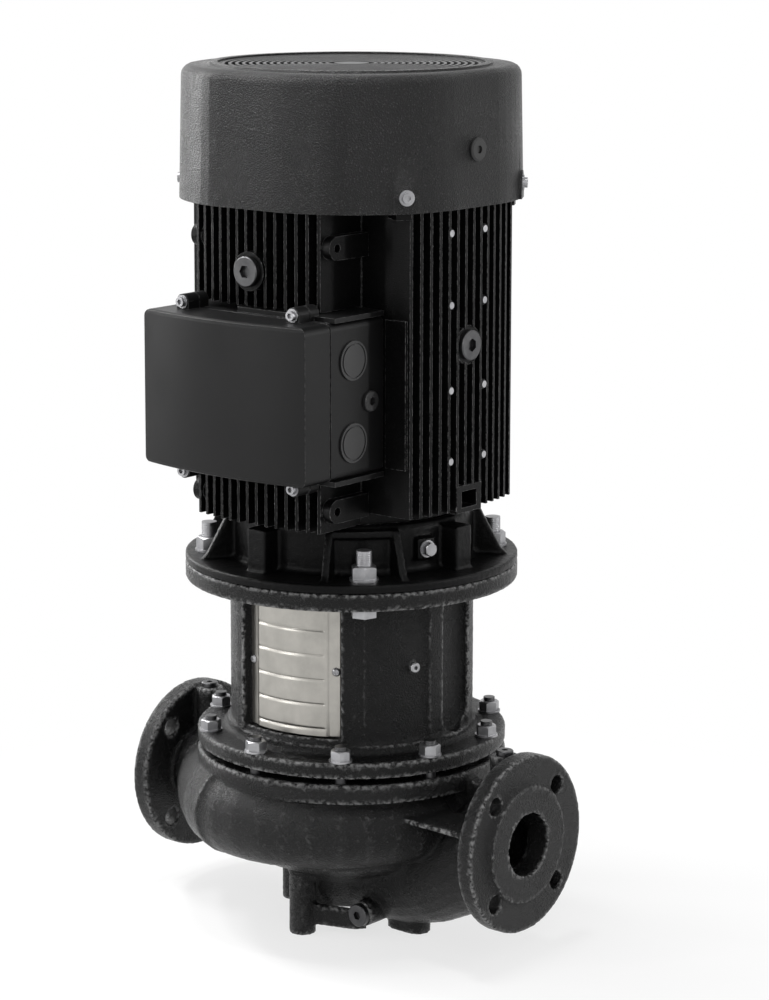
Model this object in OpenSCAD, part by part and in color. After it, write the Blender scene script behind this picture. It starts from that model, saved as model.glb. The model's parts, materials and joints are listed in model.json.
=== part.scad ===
// Vertical in-line circulation pump: the pump housing stands on four feet,
// with its two pipe flanges in line, and the motor stands on a stool above it.
// Origin: on the shaft axis, in the plane of the feet. +Z up, +X the inlet.

/* [Pipe ports] */
// Face to face length between the two pipe flanges
port_span = 475; // [430:1:520]
// Height of the pipe axis above the feet
port_height = 125; // [118:1:140]
// Bore of both ports
port_bore = 65; // [50:1:70]
// Outer diameter of a pipe flange
flange_d = 185; // [175:1:200]
// Thickness of a pipe flange, with its raised face
flange_t = 22; // [18:1:28]
// Diameter of the raised sealing face
face_d = 122; // [100:1:124]
// Height of the raised sealing face
face_t = 3; // [1:0.5:4]
// Pitch circle of the flange bolts
flange_pcd = 145; // [142:1:150]
// Diameter of the flange bolt holes
flange_hole_d = 19; // [14:1:20]
// Number of flange bolt holes
flange_holes = 4; // [4:4:8]

/* [Pump housing] */
// Outer diameter of the housing rim and of the pump head flange
rim_d = 327; // [322:1:340]
// Thickness of the housing rim
rim_t = 20.5; // [18:0.5:24]
// Radius at which the spiral passage starts, just outside the impeller
spiral_r = 98; // [97:1:102]
// Half width of the spiral at its narrow start
spiral_start = 12; // [11:0.5:15]
// Half width of the spiral where it leaves for the outlet
spiral_end = 43; // [40:1:45]
// Wall of the castings that hold water
cast_wall = 9; // [7:0.5:11]
// Outer radius of the inlet elbow under the spiral
elbow_r = 53; // [47:1:54]
// Pitch circle of the four feet
feet_pcd = 160; // [150:2:170]
// Diameter of a foot
foot_d = 28; // [24:1:34]
// Diameter of the threaded hole in each foot
foot_hole_d = 12; // [8:1:14]

/* [Pump head and motor stool] */
// Open joint between the housing rim and the head flange
joint_gap = 6.5; // [4:0.5:8]
// Thickness of the head flange
head_flange_t = 16.5; // [14:0.5:20]
// Height of the stool, from the head flange to the motor seat
stool_h = 195.8; // [188:1:215]
// Outer diameter of the stool wall
stool_d = 256; // [250:1:262]
// Thickness of the stool wall
stool_wall = 9; // [7:0.5:12]
// Turn of the stool windows about the shaft
stool_turn = 8; // [0:0.5:15]
// Half angle of a stool window
window_half = 27.5; // [20:0.5:28]
// Diameter of the motor seat flange
seat_d = 350; // [344:1:360]
// Thickness of the motor seat flange
seat_t = 18.5; // [15:0.5:22]
// Number of head studs
stud_count = 10; // [8:1:12]
// Pitch circle of the head studs
stud_pcd = 305; // [303:0.5:307]
// Diameter of the head studs
stud_d = 12; // [10:1:14]

/* [Shaft line] */
// Diameter of the impeller
impeller_d = 188; // [170:1:190]
// Number of impeller blades
blade_count = 6; // [5:1:8]
// Width of the impeller outlet
outlet_w = 16; // [12:1:18]
// Diameter of the pump shaft
pump_shaft_d = 28; // [24:1:30]
// Diameter of the motor shaft
motor_shaft_d = 42; // [38:1:45]
// Outer diameter of the shaft coupling
coupling_d = 84; // [78:1:90]
// Length of the shaft coupling
coupling_h = 104; // [96:1:108]

/* [Motor] */
// Thickness of the motor flange
motor_flange_t = 9.2; // [8:0.2:14]
// Height of the drive end bracket above the motor seat
bracket_h = 60; // [56:1:66]
// Outer diameter of the drive end bracket
bracket_d = 260; // [250:1:264]
// Pitch circle of the motor bolts
motor_pcd = 300; // [296:1:304]
// Diameter of the motor bolts
motor_bolt_d = 16; // [12:1:18]
// Distance from the shaft to the tips of the middle fins
fin_reach = 157; // [150:1:160]
// Radius of the arc that the fin tips lie on
fin_arc = 320; // [250:10:400]
// Number of fins on each face
fin_count = 14; // [10:2:16]
// Distance between two fins
fin_pitch = 12.5; // [11:0.25:12.75]
// Thickness of a fin at its tip
fin_tip = 3.2; // [2:0.2:5]
// Length of the motor frame
frame_h = 333; // [325:1:345]
// Outer radius of the frame barrel
barrel_r = 119; // [116:1:122]
// Radius of the stator
stator_r = 110; // [104:1:112]
// Radial gap between stator and rotor
air_gap = 0.6; // [0.4:0.1:1]

/* [Fan cover] */
// Distance from the shaft to the flat sides of the fan cover
cover_reach = 166; // [162:1:172]
// Radius of the corners of the fan cover
cover_corner = 136; // [130:1:142]
// Height of the fan cover
cover_h = 137; // [132:1:150]
// Thickness of the fan cover
cover_wall = 3; // [2:0.5:4]
// Radius of its upper edge
cover_edge = 11; // [8:1:14]
// How much narrower each side is at the top
cover_draft = 3; // [0:0.5:5]
// Number of rings in the air grille
grille_rings = 16; // [10:1:18]
// Number of spokes in the air grille
grille_spokes = 12; // [8:1:16]

/* [Terminal box] */
// Width of the terminal box
box_w = 216; // [200:1:220]
// Height of the terminal box
box_h = 159; // [150:1:165]
// Distance from the shaft to the front of the box
box_reach = 204; // [198:1:212]
// Depth of the cover of the box
lid_t = 39; // [34:1:44]
// How far the front of the cover bulges in its middle
lid_bulge = 12; // [8:1:15]
// Wall of the box
box_wall = 4; // [3:0.5:5]
// Sideways place of the middle of the box
box_x = 5; // [0:1:8]
// Diameter of the two large cable knock-outs
knockout_d = 40; // [32:1:42]

/* [Clearances] */
// Running clearance of a shaft in a bearing
shaft_gap = 0.05; // [0.02:0.01:0.1]
// Clearance between turning and standing parts
turn_gap = 0.3; // [0.3:0.1:0.6]
// Clearance of a located spigot or a screw in its hole
slip_gap = 0.2; // [0.1:0.1:0.5]

/* [Hidden] */
eps = 0.01;

iron = "#1b1b1c";
motor_black = "#161617";
box_black = "#1a1a1b";
steel = "#b9bbbd";
dark_steel = "#3a3b3d";
stainless = "#c9c6c0";
rubber = "#111111";
copper = "#b06a3a";
brass = "#b5953f";
carbon = "#2a2a2c";
plastic = "#202022";

// Heights, from the feet up
mid_z = port_height + 10;
rim_z = port_height + 44.5;
rim_top = rim_z + rim_t;
head_z = rim_top + joint_gap;
head_top = head_z + head_flange_t;
seat_z = head_z + stool_h;
frame_z = seat_z + bracket_h;
frame_top = frame_z + frame_h;
cover_z = frame_top - 10;
cover_top = cover_z + cover_h;

// Joint between housing and head
gasket_t = 2;
spigot_r = stud_pcd/2 - stud_d/2 - 6.5;
ledge_z = rim_top - 10;
plug_r = spiral_r + 6;
plug_z = mid_z + outlet_w/2 + 13;
stud_foot = rim_z + 3;
stud_out = 16;

// Quarter turns at which a row of four copies stands
quarters = [0, 90, 180, 270];

// A ring or part of a ring, from radius ra to rb, angles aa to ab and heights za to zb
module sector(ra, rb, aa, ab, za, zb) {
  rotate([0, 0, aa])
    rotate_extrude(angle = ab - aa, $fn = 96)
      translate([ra, za]) square([rb - ra, zb - za]);
}

// A disc, or a ring where it has a bore
module ring(r, t, bore = 0) {
  rotate_extrude($fn = 96) translate([bore, 0]) square([r - bore, t]);
}

// A hexagon that stands on z = 0
module hex(across, t) {
  cylinder(h = t, r = across/sqrt(3), $fn = 6);
}

// Copies at n places on a circle
module around(n, r, start = 0) {
  for (i = [0:n - 1])
    rotate([0, 0, start + i*360/n]) translate([r, 0, 0]) children();
}

// Joins rings of points that all have the same count into one closed solid
module loft(rings) {
  n = len(rings[0]);
  m = len(rings);
  points = [for (r = rings) each r];
  sides = [for (j = [0:m - 2], i = [0:n - 1], s = [0, 1])
    let (k = (i + 1) % n, u = j*n, v = (j + 1)*n)
    s == 0 ? [u + i, v + k, u + k] : [u + i, v + i, v + k]];
  caps = [[for (i = [0:n - 1]) i], [for (i = [n - 1:-1:0]) (m - 1)*n + i]];
  polyhedron(points = points, faces = concat(sides, caps), convexity = 8);
}

// Ring of n points round p, square to the direction d in plan and slope
function tube_ring(p, d, ry, rz, n = 24) =
  let (l = norm(d), f = d/l, s = cross(f, [0, 0, 1]), side = s/norm(s), up = cross(side, f))
  [for (i = [0:n - 1]) p - ry*cos(i*360/n)*side + rz*sin(i*360/n)*up];

// Direction of a path at its point i, with the directions that its ends are given
function path_dir(p, i, first, last) =
  i == 0 ? first : i == len(p) - 1 ? last : p[i + 1] - p[i - 1];

/* Pump housing */

// Places on the spiral: swept from behind the outlet, over the inlet, to the front left
spiral_from = 200;
spiral_sweep = 325;
spiral_steps = 32;
spiral_sides = 24;
function spiral_w(t) = spiral_start + (spiral_end - spiral_start)*t;
function spiral_ring(t, wall) =
  let (w = spiral_w(t), a = spiral_from - spiral_sweep*t, r = spiral_r + w)
  [for (i = [0:spiral_sides - 1])
    let (q = i*360/spiral_sides, x = r + (w - wall)*cos(q))
    [x*cos(a), x*sin(a), mid_z + 1.12*(w - wall)*sin(q)]];
function spiral_rings(wall) = [for (j = [0:spiral_steps]) spiral_ring(j/spiral_steps, wall)];

// The outlet neck leaves the wide end of the spiral and turns to the outlet flange
outlet_x = -port_span/2 + flange_t - 2;
neck_a = spiral_from - spiral_sweep;
neck_r = spiral_r + spiral_end;
neck_path = [
  [neck_r*cos(neck_a + 14), neck_r*sin(neck_a + 14), mid_z],
  [neck_r*cos(neck_a), neck_r*sin(neck_a), mid_z],
  [neck_r*cos(neck_a) - 26, neck_r*sin(neck_a) + 22, mid_z - 1],
  [neck_r*cos(neck_a) - 56, neck_r*sin(neck_a) + 52, mid_z - 4],
  [neck_r*cos(neck_a) - 84, neck_r*sin(neck_a) + 84, mid_z - 7],
  [outlet_x + 26, -14, port_height + 1],
  [outlet_x + 8, 0, port_height],
  [outlet_x, 0, port_height]
];
module neck(wall, end) {
  n = len(neck_path) - 1;
  start = spiral_end - wall;
  first = neck_path[1] - neck_path[0];
  loft([for (i = [0:n])
    let (t = min(1, i/(n - 1)), r = start + (end - start)*t)
    tube_ring(neck_path[i], path_dir(neck_path, i, first, [-1, 0, 0]), r, r*(1.12 - 0.12*t))]);
}

// The inlet elbow dips from the inlet flange under the spiral to the middle
inlet_x = port_span/2 - flange_t + 2;
elbow_path = [
  [inlet_x, 0, port_height],
  [inlet_x - 6, 0, port_height],
  [inlet_x - 22, 0, port_height - 11],
  [inlet_x - 42, 0, port_height - 24],
  [inlet_x - 70, 0, port_height - 40],
  [inlet_x - 99, 0, port_height - 54],
  [inlet_x - 127, 0, port_height - 62],
  [inlet_x - 160, 0, port_height - 64],
  [inlet_x - 195, 0, port_height - 62]
];
module elbow(start, r, n) {
  loft([for (i = [0:n])
    let (q = i < 2 ? start : r)
    tube_ring(elbow_path[i], i < 2 ? [-1, 0, 0] : path_dir(elbow_path, i, [-1, 0, 0], [-1, 0, 0]), q, q)]);
}

module port(side) {
  mirror([side < 0 ? 1 : 0, 0, 0]) translate([port_span/2, 0, port_height]) rotate([0, -90, 0]) {
    translate([0, 0, face_t]) {
      cylinder(h = flange_t - face_t - 2, d = flange_d, $fn = 96);
      translate([0, 0, flange_t - face_t - 2])
        rotate_extrude($fn = 96) polygon([[0, 0], [flange_d/2, 0], [flange_d/2 - 2, 2], [0, 2]]);
    }
    cylinder(h = flange_t, d = face_d, $fn = 96);
  }
}

module port_cuts(side, deep) {
  mirror([side < 0 ? 1 : 0, 0, 0]) translate([port_span/2, 0, port_height]) rotate([0, -90, 0]) {
    translate([0, 0, -1]) cylinder(h = deep + 1, d = port_bore, $fn = 96);
    around(flange_holes, flange_pcd/2, 180/flange_holes) {
      translate([0, 0, -1]) cylinder(h = flange_t + 2, d = flange_hole_d, $fn = 48);
    }
  }
}

gauge_x = port_span/2 - flange_t - 10;
gauge_top = port_height + flange_d/2 - 3;
gauge_hole_d = 13;
drain_at = [68, -66, 30];
drain_hole_d = 18;
leg_r = feet_pcd/2;
foot_l = 22;
wear_r = 48;
wear_z = mid_z - 37;
wear_h = 13;
eye_r = 38;

module housing_shell() {
  loft(spiral_rings(0));
  neck(0, port_bore/2 + cast_wall + 2);
  elbow(port_bore/2 + cast_wall + 3, elbow_r, 8);
  rotate_extrude($fn = 96) polygon([
    [0, 16], [30, 16], [48, 22], [60, 38], [70, 56], [90, 69], [110, 77], [124, 86],
    [131, 102], [133, rim_z - 20], [142, rim_z - 9], [rim_d/2 - 8, rim_z],
    [rim_d/2, rim_z], [rim_d/2, rim_top - 1.5], [rim_d/2 - 1.5, rim_top], [0, rim_top]
  ]);
  port(1);
  port(-1);
}

module housing_ribs() {
  // Level rib and top gusset between the spiral and the inlet flange
  translate([0, 0, mid_z + 13])
    linear_extrude(5) polygon([[118, -84], [inlet_x, -86], [inlet_x, -30], [118, -30]]);
  translate([0, 8, 0]) rotate([90, 0, 0])
    linear_extrude(16) polygon([[130, rim_z + 6], [rim_d/2 - 2, rim_z + 14], [inlet_x, rim_z - 4],
      [inlet_x, port_height + 30], [130, port_height + 30]]);
  mirror([1, 0, 0]) translate([0, 8, 0]) rotate([90, 0, 0])
    linear_extrude(16) polygon([[126, rim_z + 6], [rim_d/2 - 2, rim_z + 14], [inlet_x, rim_z - 4],
      [inlet_x, port_height + 30], [126, port_height + 30]]);
  // Gauge bosses behind the tops of the flanges
  for (s = [-1, 1]) translate([s*gauge_x, 0, port_height + 34])
    cylinder(h = gauge_top - port_height - 34, d = 30, $fn = 48);
  // Four legs, and the web from the front leg to the drain boss
  for (a = quarters) rotate([0, 0, a]) translate([leg_r, 0, 0]) {
    cylinder(h = a == 0 ? 30 : 66, d = foot_d, $fn = 48);
    if (a == 0) {
      for (s = [-1, 1]) translate([s*foot_l/2, 0, 0]) cylinder(h = 24, d = foot_d, $fn = 48);
      translate([-foot_l/2, -foot_d/2, 0]) cube([foot_l, foot_d, 24]);
    }
    translate([-leg_r + 30, -5, 8]) cube([leg_r - 32, 10, 55]);
  }
  translate([0, 0, 10]) linear_extrude(22)
    polygon([[0, -leg_r - 4], [drain_at[0] - 10, drain_at[1] + 1], [drain_at[0], drain_at[1] + 12], [0, -leg_r + 6]]);
  translate(drain_at) rotate([-90, 0, 0]) cylinder(h = 36, d = 27, $fn = 48);
}

module housing_water() {
  loft(spiral_rings(cast_wall));
  neck(cast_wall, port_bore/2);
  elbow(port_bore/2, elbow_r - cast_wall - 3, 7);
  rotate_extrude($fn = 96) polygon([
    [0, 27], [22, 27], [36, 31], [48, 42], [57, 56], [60, 72], [52, 88], [eye_r, wear_z],
    [wear_r, wear_z], [wear_r, wear_z + wear_h], [58, wear_z + wear_h + 2],
    [spiral_r - 8, mid_z - 16], [spiral_r, mid_z - 12], [spiral_r, mid_z - outlet_w/2 - 3],
    [spiral_r + 24, mid_z - outlet_w/2 - 3], [spiral_r + 24, mid_z + outlet_w/2 + 3],
    [spiral_r, mid_z + outlet_w/2 + 3], [plug_r + 1, plug_z - 4], [plug_r + 1, ledge_z],
    [spigot_r + slip_gap, ledge_z], [spigot_r + slip_gap, rim_top + 1], [0, rim_top + 1]
  ]);
}

module pump_housing() {
  color(iron) difference() {
    union() {
      housing_shell();
      housing_ribs();
    }
    housing_water();
    port_cuts(1, flange_t);
    port_cuts(-1, flange_t);
    around(stud_count, stud_pcd/2, -90)
      translate([0, 0, stud_foot]) cylinder(h = rim_top - stud_foot + 2, d = stud_d, $fn = 48);
    around(4, leg_r) translate([0, 0, -1]) cylinder(h = 22, d = foot_hole_d, $fn = 48);
    translate(drain_at - [0, 1, 0]) rotate([-90, 0, 0]) cylinder(h = 52, d = drain_hole_d, $fn = 48);
    for (s = [-1, 1]) translate([s*gauge_x, 0, gauge_top - 14])
      cylinder(h = 15, d = gauge_hole_d, $fn = 48);
  }
}

module wear_ring() {
  color(stainless) translate([0, 0, wear_z])
    ring(wear_r, wear_h, impeller_neck_r + turn_gap);
}

// A round plug with a hexagon socket, its head up, that screws down into a hole
module socket_plug(hole_d, deep, head_d, head_t, socket) {
  difference() {
    union() {
      translate([0, 0, -deep]) cylinder(h = deep + eps, d = hole_d, $fn = 48);
      cylinder(h = head_t - 1, d = head_d, $fn = 48);
      translate([0, 0, head_t - 1]) rotate_extrude($fn = 48)
        polygon([[0, 0], [head_d/2, 0], [head_d/2 - 1, 1], [0, 1]]);
    }
    translate([0, 0, head_t - 5]) hex(socket, 6);
  }
}

module drain_plug() {
  color(dark_steel) translate(drain_at) rotate([90, 0, 0])
    socket_plug(drain_hole_d, 22, 24, 6, 8);
}

module gauge_plugs() {
  color(dark_steel) for (s = [-1, 1]) translate([s*gauge_x, 0, gauge_top])
    socket_plug(gauge_hole_d, 12, 18, 5, 6);
}

module head_gasket() {
  color(rubber) translate([0, 0, ledge_z]) ring(spigot_r, gasket_t, plug_r + 6);
}

/* Pump head and motor stool, one casting */

hub_r = 46;
hub_top = head_top + 12;
seal_bore_r = 31;
seal_seat_z = head_z + 2;
shaft_hole_r = pump_shaft_d/2 + 4;
sill_z = head_top + 15;
window_top = seat_z - seat_t - 6;
ledge_a = window_half - 6;
ledge_t = 8;
guard_r = stool_d/2 - stool_wall;
pocket_z = head_top + 8;
pocket_top = seat_z - seat_t - 8;
pocket_half = 11;

module stool_wall_band(aa, ab, r) {
  for (m = [0, 1], o = [0, 180]) rotate([0, 0, o]) mirror([m, 0, 0])
    sector(guard_r + 1, r, -90 + aa, -90 + ab, head_top - 2, seat_z - seat_t + 2);
}

module stool_body() {
  wall_r = stool_d/2;
  flange_z = seat_z - seat_t;
  // In one turned form: plug over the impeller, spigot, head flange, hub, wall and motor seat
  rotate_extrude($fn = 96) polygon([
    [0, plug_z], [plug_r, plug_z], [plug_r, ledge_z + gasket_t], [spigot_r, ledge_z + gasket_t],
    [spigot_r, head_z], [rim_d/2 - 1.5, head_z], [rim_d/2, head_z + 1.5], [rim_d/2, head_top - 1.5],
    [rim_d/2 - 1.5, head_top], [wall_r + 8, head_top], [wall_r + 4, head_top + 3],
    [wall_r + 4, sill_z - 6], [wall_r, sill_z - 5], [wall_r, flange_z - 4], [wall_r + 4, flange_z],
    [seat_d/2 - 1.5, flange_z], [seat_d/2, flange_z + 1.5], [seat_d/2, seat_z - 1],
    [seat_d/2 - 1, seat_z], [guard_r - 10, seat_z], [guard_r - 10, flange_z], [guard_r - ledge_t, flange_z],
    [guard_r - ledge_t, head_top], [hub_r + 8, head_top], [hub_r, head_top + 4], [hub_r, hub_top], [0, hub_top]
  ]);
  rotate([0, 0, stool_turn]) {
    stool_wall_band(window_half, window_half + 6.5, wall_r + 3);
    stool_wall_band(window_half + 3, window_half + 11, wall_r + 1.5);
    stool_wall_band(90 - pocket_half - 9, 90 - pocket_half, wall_r + 3);
  }
}

module stool_windows() {
  rotate([0, 0, stool_turn]) for (o = [0, 180]) rotate([0, 0, o]) {
    sector(guard_r, stool_d/2 + 9, -90 - window_half, -90 + window_half, sill_z, window_top);
    sector(guard_r - ledge_t - 2, guard_r + 1, -90 - ledge_a, -90 + ledge_a, sill_z, window_top);
    side_pocket();
  }
}

// Recess in the stool wall, with cut upper corners and a round lower end
module side_pocket() {
  w = stool_d/2*sin(pocket_half);
  translate([guard_r + 2, 0, 0]) rotate([90, 0, 90]) linear_extrude(20) union() {
    polygon([[-w, pocket_z + w], [w, pocket_z + w], [w, pocket_top - 14], [w - 12, pocket_top],
      [12 - w, pocket_top], [-w, pocket_top - 14]]);
    translate([0, pocket_z + w]) circle(r = w, $fn = 48);
  }
}

vent_a = 70;
vent_z = head_top + 88;
vent_d = 7;

module motor_stool() {
  color(iron) difference() {
    stool_body();
    stool_windows();
    // Seal chamber from below, and the shaft hole
    translate([0, 0, plug_z - 1]) cylinder(h = seal_seat_z - plug_z + 1, r = seal_bore_r, $fn = 96);
    translate([0, 0, plug_z - 1]) cylinder(h = hub_top - plug_z + 2, r = shaft_hole_r, $fn = 96);
    around(stud_count, stud_pcd/2, -90)
      translate([0, 0, head_z - 1]) cylinder(h = head_flange_t + 2, d = stud_d + 2, $fn = 48);
    around(4, motor_pcd/2, 45)
      translate([0, 0, seat_z - seat_t - 1]) cylinder(h = seat_t + 2, d = motor_bolt_d + 2, $fn = 48);
    rotate([0, 0, stool_turn]) guard_screw_places() translate([0, 0, -1]) cylinder(h = ledge_t + 2, d = guard_screw_d, $fn = 32);
    rotate([0, 0, vent_a - 90]) translate([guard_r - 9, 0, vent_z])
      rotate([0, 90, 0]) cylinder(h = 24, d = vent_d, $fn = 32);
  }
}

module head_studs() {
  color(dark_steel) around(stud_count, stud_pcd/2, -90)
    translate([0, 0, stud_foot]) cylinder(h = head_top + stud_out - stud_foot, d = stud_d, $fn = 48);
}

head_nut_t = 10;
module head_nuts() {
  color(steel) around(stud_count, stud_pcd/2, -90) translate([0, 0, head_top]) {
    difference() {
      union() {
        ring(12, 2);
        translate([0, 0, 2]) nut(19, head_nut_t);
      }
      translate([0, 0, -1]) cylinder(h = head_nut_t + 5, d = stud_d, $fn = 48);
    }
  }
}

// A hexagon with its corners rounded off above
module nut(across, t) {
  intersection() {
    hex(across, t);
    rotate_extrude($fn = 48)
      polygon([[0, 0], [across*0.6, 0], [across*0.6, t - across*0.1], [across*0.47, t], [0, t]]);
  }
}

module vent_screw() {
  color(steel) rotate([0, 0, vent_a - 90]) translate([stool_d/2, 0, vent_z]) rotate([0, 90, 0])
    socket_plug(vent_d, 14, 11, 5, 4);
}

/* Shaft seal */

seal_r = 27;

module seal_seat() {
  color("#d8d4cc") translate([0, 0, seal_seat_z - 9]) ring(seal_bore_r, 9, pump_shaft_d/2 + 1);
}

module seal_ring() {
  color(carbon) translate([0, 0, seal_seat_z - 9 - turn_gap - 8]) ring(seal_r - 1, 8, pump_shaft_d/2);
}

spring_z = seal_seat_z - 9 - turn_gap - 8;
spring_h = 10;
collar_z = spring_z - spring_h - 5;

module seal_spring() {
  turns = 3;
  steps = 24;
  wire = 1.1;
  r = (pump_shaft_d/2 + seal_r)/2;
  rise = spring_h - 2*wire;
  color(steel) loft([for (i = [0:turns*steps])
    let (a = i*360/steps, z = collar_z + 5 + wire + rise*i/(turns*steps))
    [for (k = [0:5]) let (q = -k*60, x = r + wire*cos(q)) [x*cos(a), x*sin(a), z + wire*sin(q)]]]);
}

module seal_collar() {
  color(stainless) translate([0, 0, collar_z]) ring(seal_r, 5, pump_shaft_d/2);
}

/* Impeller and pump shaft */

shroud_t = 4;
impeller_neck_r = 42;
hub_bore_r = pump_shaft_d/2 - 3;
impeller_hub_r = 21;
back_z = mid_z + outlet_w/2;
hub_z = mid_z - 6;

// Backward curved blade, swept by blade_wrap degrees from the eye to the rim
blade_wrap = 110;
blade_in = impeller_neck_r - 10;
blade_out = impeller_d/2 - 1.5;
function blade_point(t, side) =
  let (r = blade_in + (blade_out - blade_in)*t, a = -blade_wrap*t, e = side*2.2*180/(PI*r))
  [r*cos(a + e), r*sin(a + e)];
module blade() {
  n = 12;
  polygon([for (i = [0:n]) blade_point(i/n, 1), for (i = [n:-1:0]) blade_point(i/n, -1)]);
}

module impeller() {
  color(stainless) union() {
    // Back shroud and hub
    translate([0, 0, back_z]) ring(impeller_d/2, shroud_t, hub_bore_r);
    rotate_extrude($fn = 96) polygon([[hub_bore_r, hub_z], [impeller_hub_r - 4, hub_z],
      [impeller_hub_r, hub_z + 6], [impeller_hub_r + 7, back_z + 0.5], [impeller_hub_r, back_z + shroud_t + 4],
      [hub_bore_r, back_z + shroud_t + 4]]);
    // Front shroud with the neck that runs in the wear ring
    rotate_extrude($fn = 96) polygon([
      [impeller_neck_r - 4, wear_z + 1], [impeller_neck_r, wear_z + 1],
      [impeller_neck_r, wear_z + wear_h + 3], [impeller_neck_r + 14, mid_z - outlet_w/2 - shroud_t - 2],
      [impeller_d/2, mid_z - outlet_w/2 - shroud_t + 2], [impeller_d/2, mid_z - outlet_w/2],
      [impeller_neck_r + 16, mid_z - outlet_w/2], [impeller_neck_r - 4, wear_z + wear_h + 8]
    ]);
    for (i = [0:blade_count - 1]) rotate([0, 0, i*360/blade_count])
      translate([0, 0, mid_z - outlet_w/2 - 1]) linear_extrude(outlet_w + 2) blade();
  }
}

module impeller_screw() {
  color(steel) translate([0, 0, hub_z - 12]) {
    nut(24, 9);
    translate([0, 0, 9]) ring(hub_bore_r + 6, 3);
    translate([0, 0, 12 - eps]) cylinder(h = 30, d = 12, $fn = 48);
  }
}

shaft_step = back_z + shroud_t + 4;
pump_shaft_top = hub_top + 8 + coupling_h*0.42;

module pump_shaft() {
  color(stainless) difference() {
    rotate_extrude($fn = 96) polygon([
      [0, hub_z], [hub_bore_r, hub_z], [hub_bore_r, shaft_step], [pump_shaft_d/2, shaft_step],
      [pump_shaft_d/2, pump_shaft_top - 2], [pump_shaft_d/2 - 2, pump_shaft_top], [0, pump_shaft_top]
    ]);
    translate([0, 0, hub_z - 1]) cylinder(h = 31, d = 12, $fn = 48);
  }
}

/* Coupling and its guards */

coupling_z = hub_top + 8;
coupling_split = 1.5;
motor_shaft_foot = pump_shaft_top + 6;
coupling_screw_r = coupling_d/2 - 10;
coupling_rows = [0.12, 0.37, 0.63, 0.88];

module coupling_shell() {
  r = coupling_d/2;
  difference() {
    rotate_extrude($fn = 96) polygon([
      [pump_shaft_d/2, 0], [r - 2, 0], [r, 2], [r, coupling_h - 2], [r - 2, coupling_h],
      [motor_shaft_d/2, coupling_h], [motor_shaft_d/2, pump_shaft_top - coupling_z + 3],
      [pump_shaft_d/2, pump_shaft_top - coupling_z + 3]
    ]);
    translate([-r - 1, -coupling_split/2, -1]) cube([2*r + 2, r + 2, coupling_h + 2]);
    for (k = coupling_rows, s = [-1, 1]) translate([s*coupling_screw_r, 0, k*coupling_h]) rotate([90, 0, 0]) {
      translate([0, 0, -1]) cylinder(h = r + 2, d = 8, $fn = 32);
      translate([0, 0, 18]) cylinder(h = r, d = 14.4, $fn = 32);
    }
  }
}

module coupling_half_front() {
  color(steel) translate([0, 0, coupling_z]) coupling_shell();
}

module coupling_half_rear() {
  color(steel) translate([0, 0, coupling_z]) rotate([0, 0, 180]) coupling_shell();
}

module coupling_screws() {
  color(dark_steel) for (k = coupling_rows, s = [-1, 1])
    translate([s*coupling_screw_r, s*18, coupling_z + k*coupling_h]) rotate([s*-90, 0, 0]) difference() {
      union() {
        translate([0, 0, -34]) cylinder(h = 34 + eps, d = 8, $fn = 32);
        cylinder(h = 8, d = 13, $fn = 32);
      }
      translate([0, 0, 4]) hex(6, 5);
    }
}

guard_t = 1.5;
guard_screw_d = 5;
guard_screw_a = window_half - 2.7;
guard_screw_z = (sill_z + window_top)/2;
guard_beads = 5;

module guard_screw_places() {
  for (o = [0, 180], s = [-1, 1]) rotate([0, 0, o + s*guard_screw_a - 90])
    translate([guard_r - ledge_t, 0, guard_screw_z]) rotate([0, 90, 0]) children();
}

module guard() {
  z0 = sill_z + 1;
  z1 = window_top - 1;
  edge = window_half - 0.5;
  // The middle of the guard bulges outwards
  mid_r = guard_r + guard_t*0.7;
  difference() {
    union() {
      for (s = [0, 1]) mirror([s, 0, 0])
        sector(guard_r, guard_r + guard_t, -90 + ledge_a - 1, -90 + edge, z0, z1);
      sector(mid_r, mid_r + guard_t, -90 - ledge_a, -90 + ledge_a, z0 + guard_t, z1 - guard_t);
      for (i = [0:guard_beads - 1])
        sector(mid_r + guard_t/2, mid_r + guard_t + 0.8, -90 - ledge_a + 1.5, -90 + ledge_a - 3,
          z0 + 12 + i*(z1 - z0 - 30)/(guard_beads - 1), z0 + 14 + i*(z1 - z0 - 30)/(guard_beads - 1));
    }
    for (s = [-1, 1]) rotate([0, 0, s*guard_screw_a - 90]) translate([guard_r - 2, 0, guard_screw_z])
      rotate([0, 90, 0]) cylinder(h = 6, d = guard_screw_d + 2*slip_gap, $fn = 32);
  }
}

module guard_front() {
  color(stainless) rotate([0, 0, stool_turn]) guard();
}

module guard_rear() {
  color(stainless) rotate([0, 0, stool_turn + 180]) guard();
}

module guard_screws() {
  color(steel) rotate([0, 0, stool_turn]) guard_screw_places() difference() {
    union() {
      cylinder(h = ledge_t + guard_t + eps, d = guard_screw_d, $fn = 32);
      translate([0, 0, ledge_t + guard_t]) rotate_extrude($fn = 32)
        polygon([[0, 0], [4.6, 0], [4.6, 1], [3, 2.8], [0, 3]]);
    }
    for (q = [0, 90]) rotate([0, 0, q]) translate([-3, -0.6, ledge_t + guard_t + 1.8]) cube([6, 1.2, 3]);
  }
}

/* Drive end bracket of the motor */

bracket_wall = 10;
bearing_od = 100;
bearing_id = 45;
bearing_w = 25;
fan_bearing_od = 80;
fan_bearing_id = 40;
fan_bearing_w = 18;
bearing_z = seat_z + 14;
fan_bearing_z = frame_top + 6;
gusset_a = 14.5;
pillar_w = 24;
pillar_out = 21;
motor_spigot_r = guard_r - 10 - slip_gap;

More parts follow.
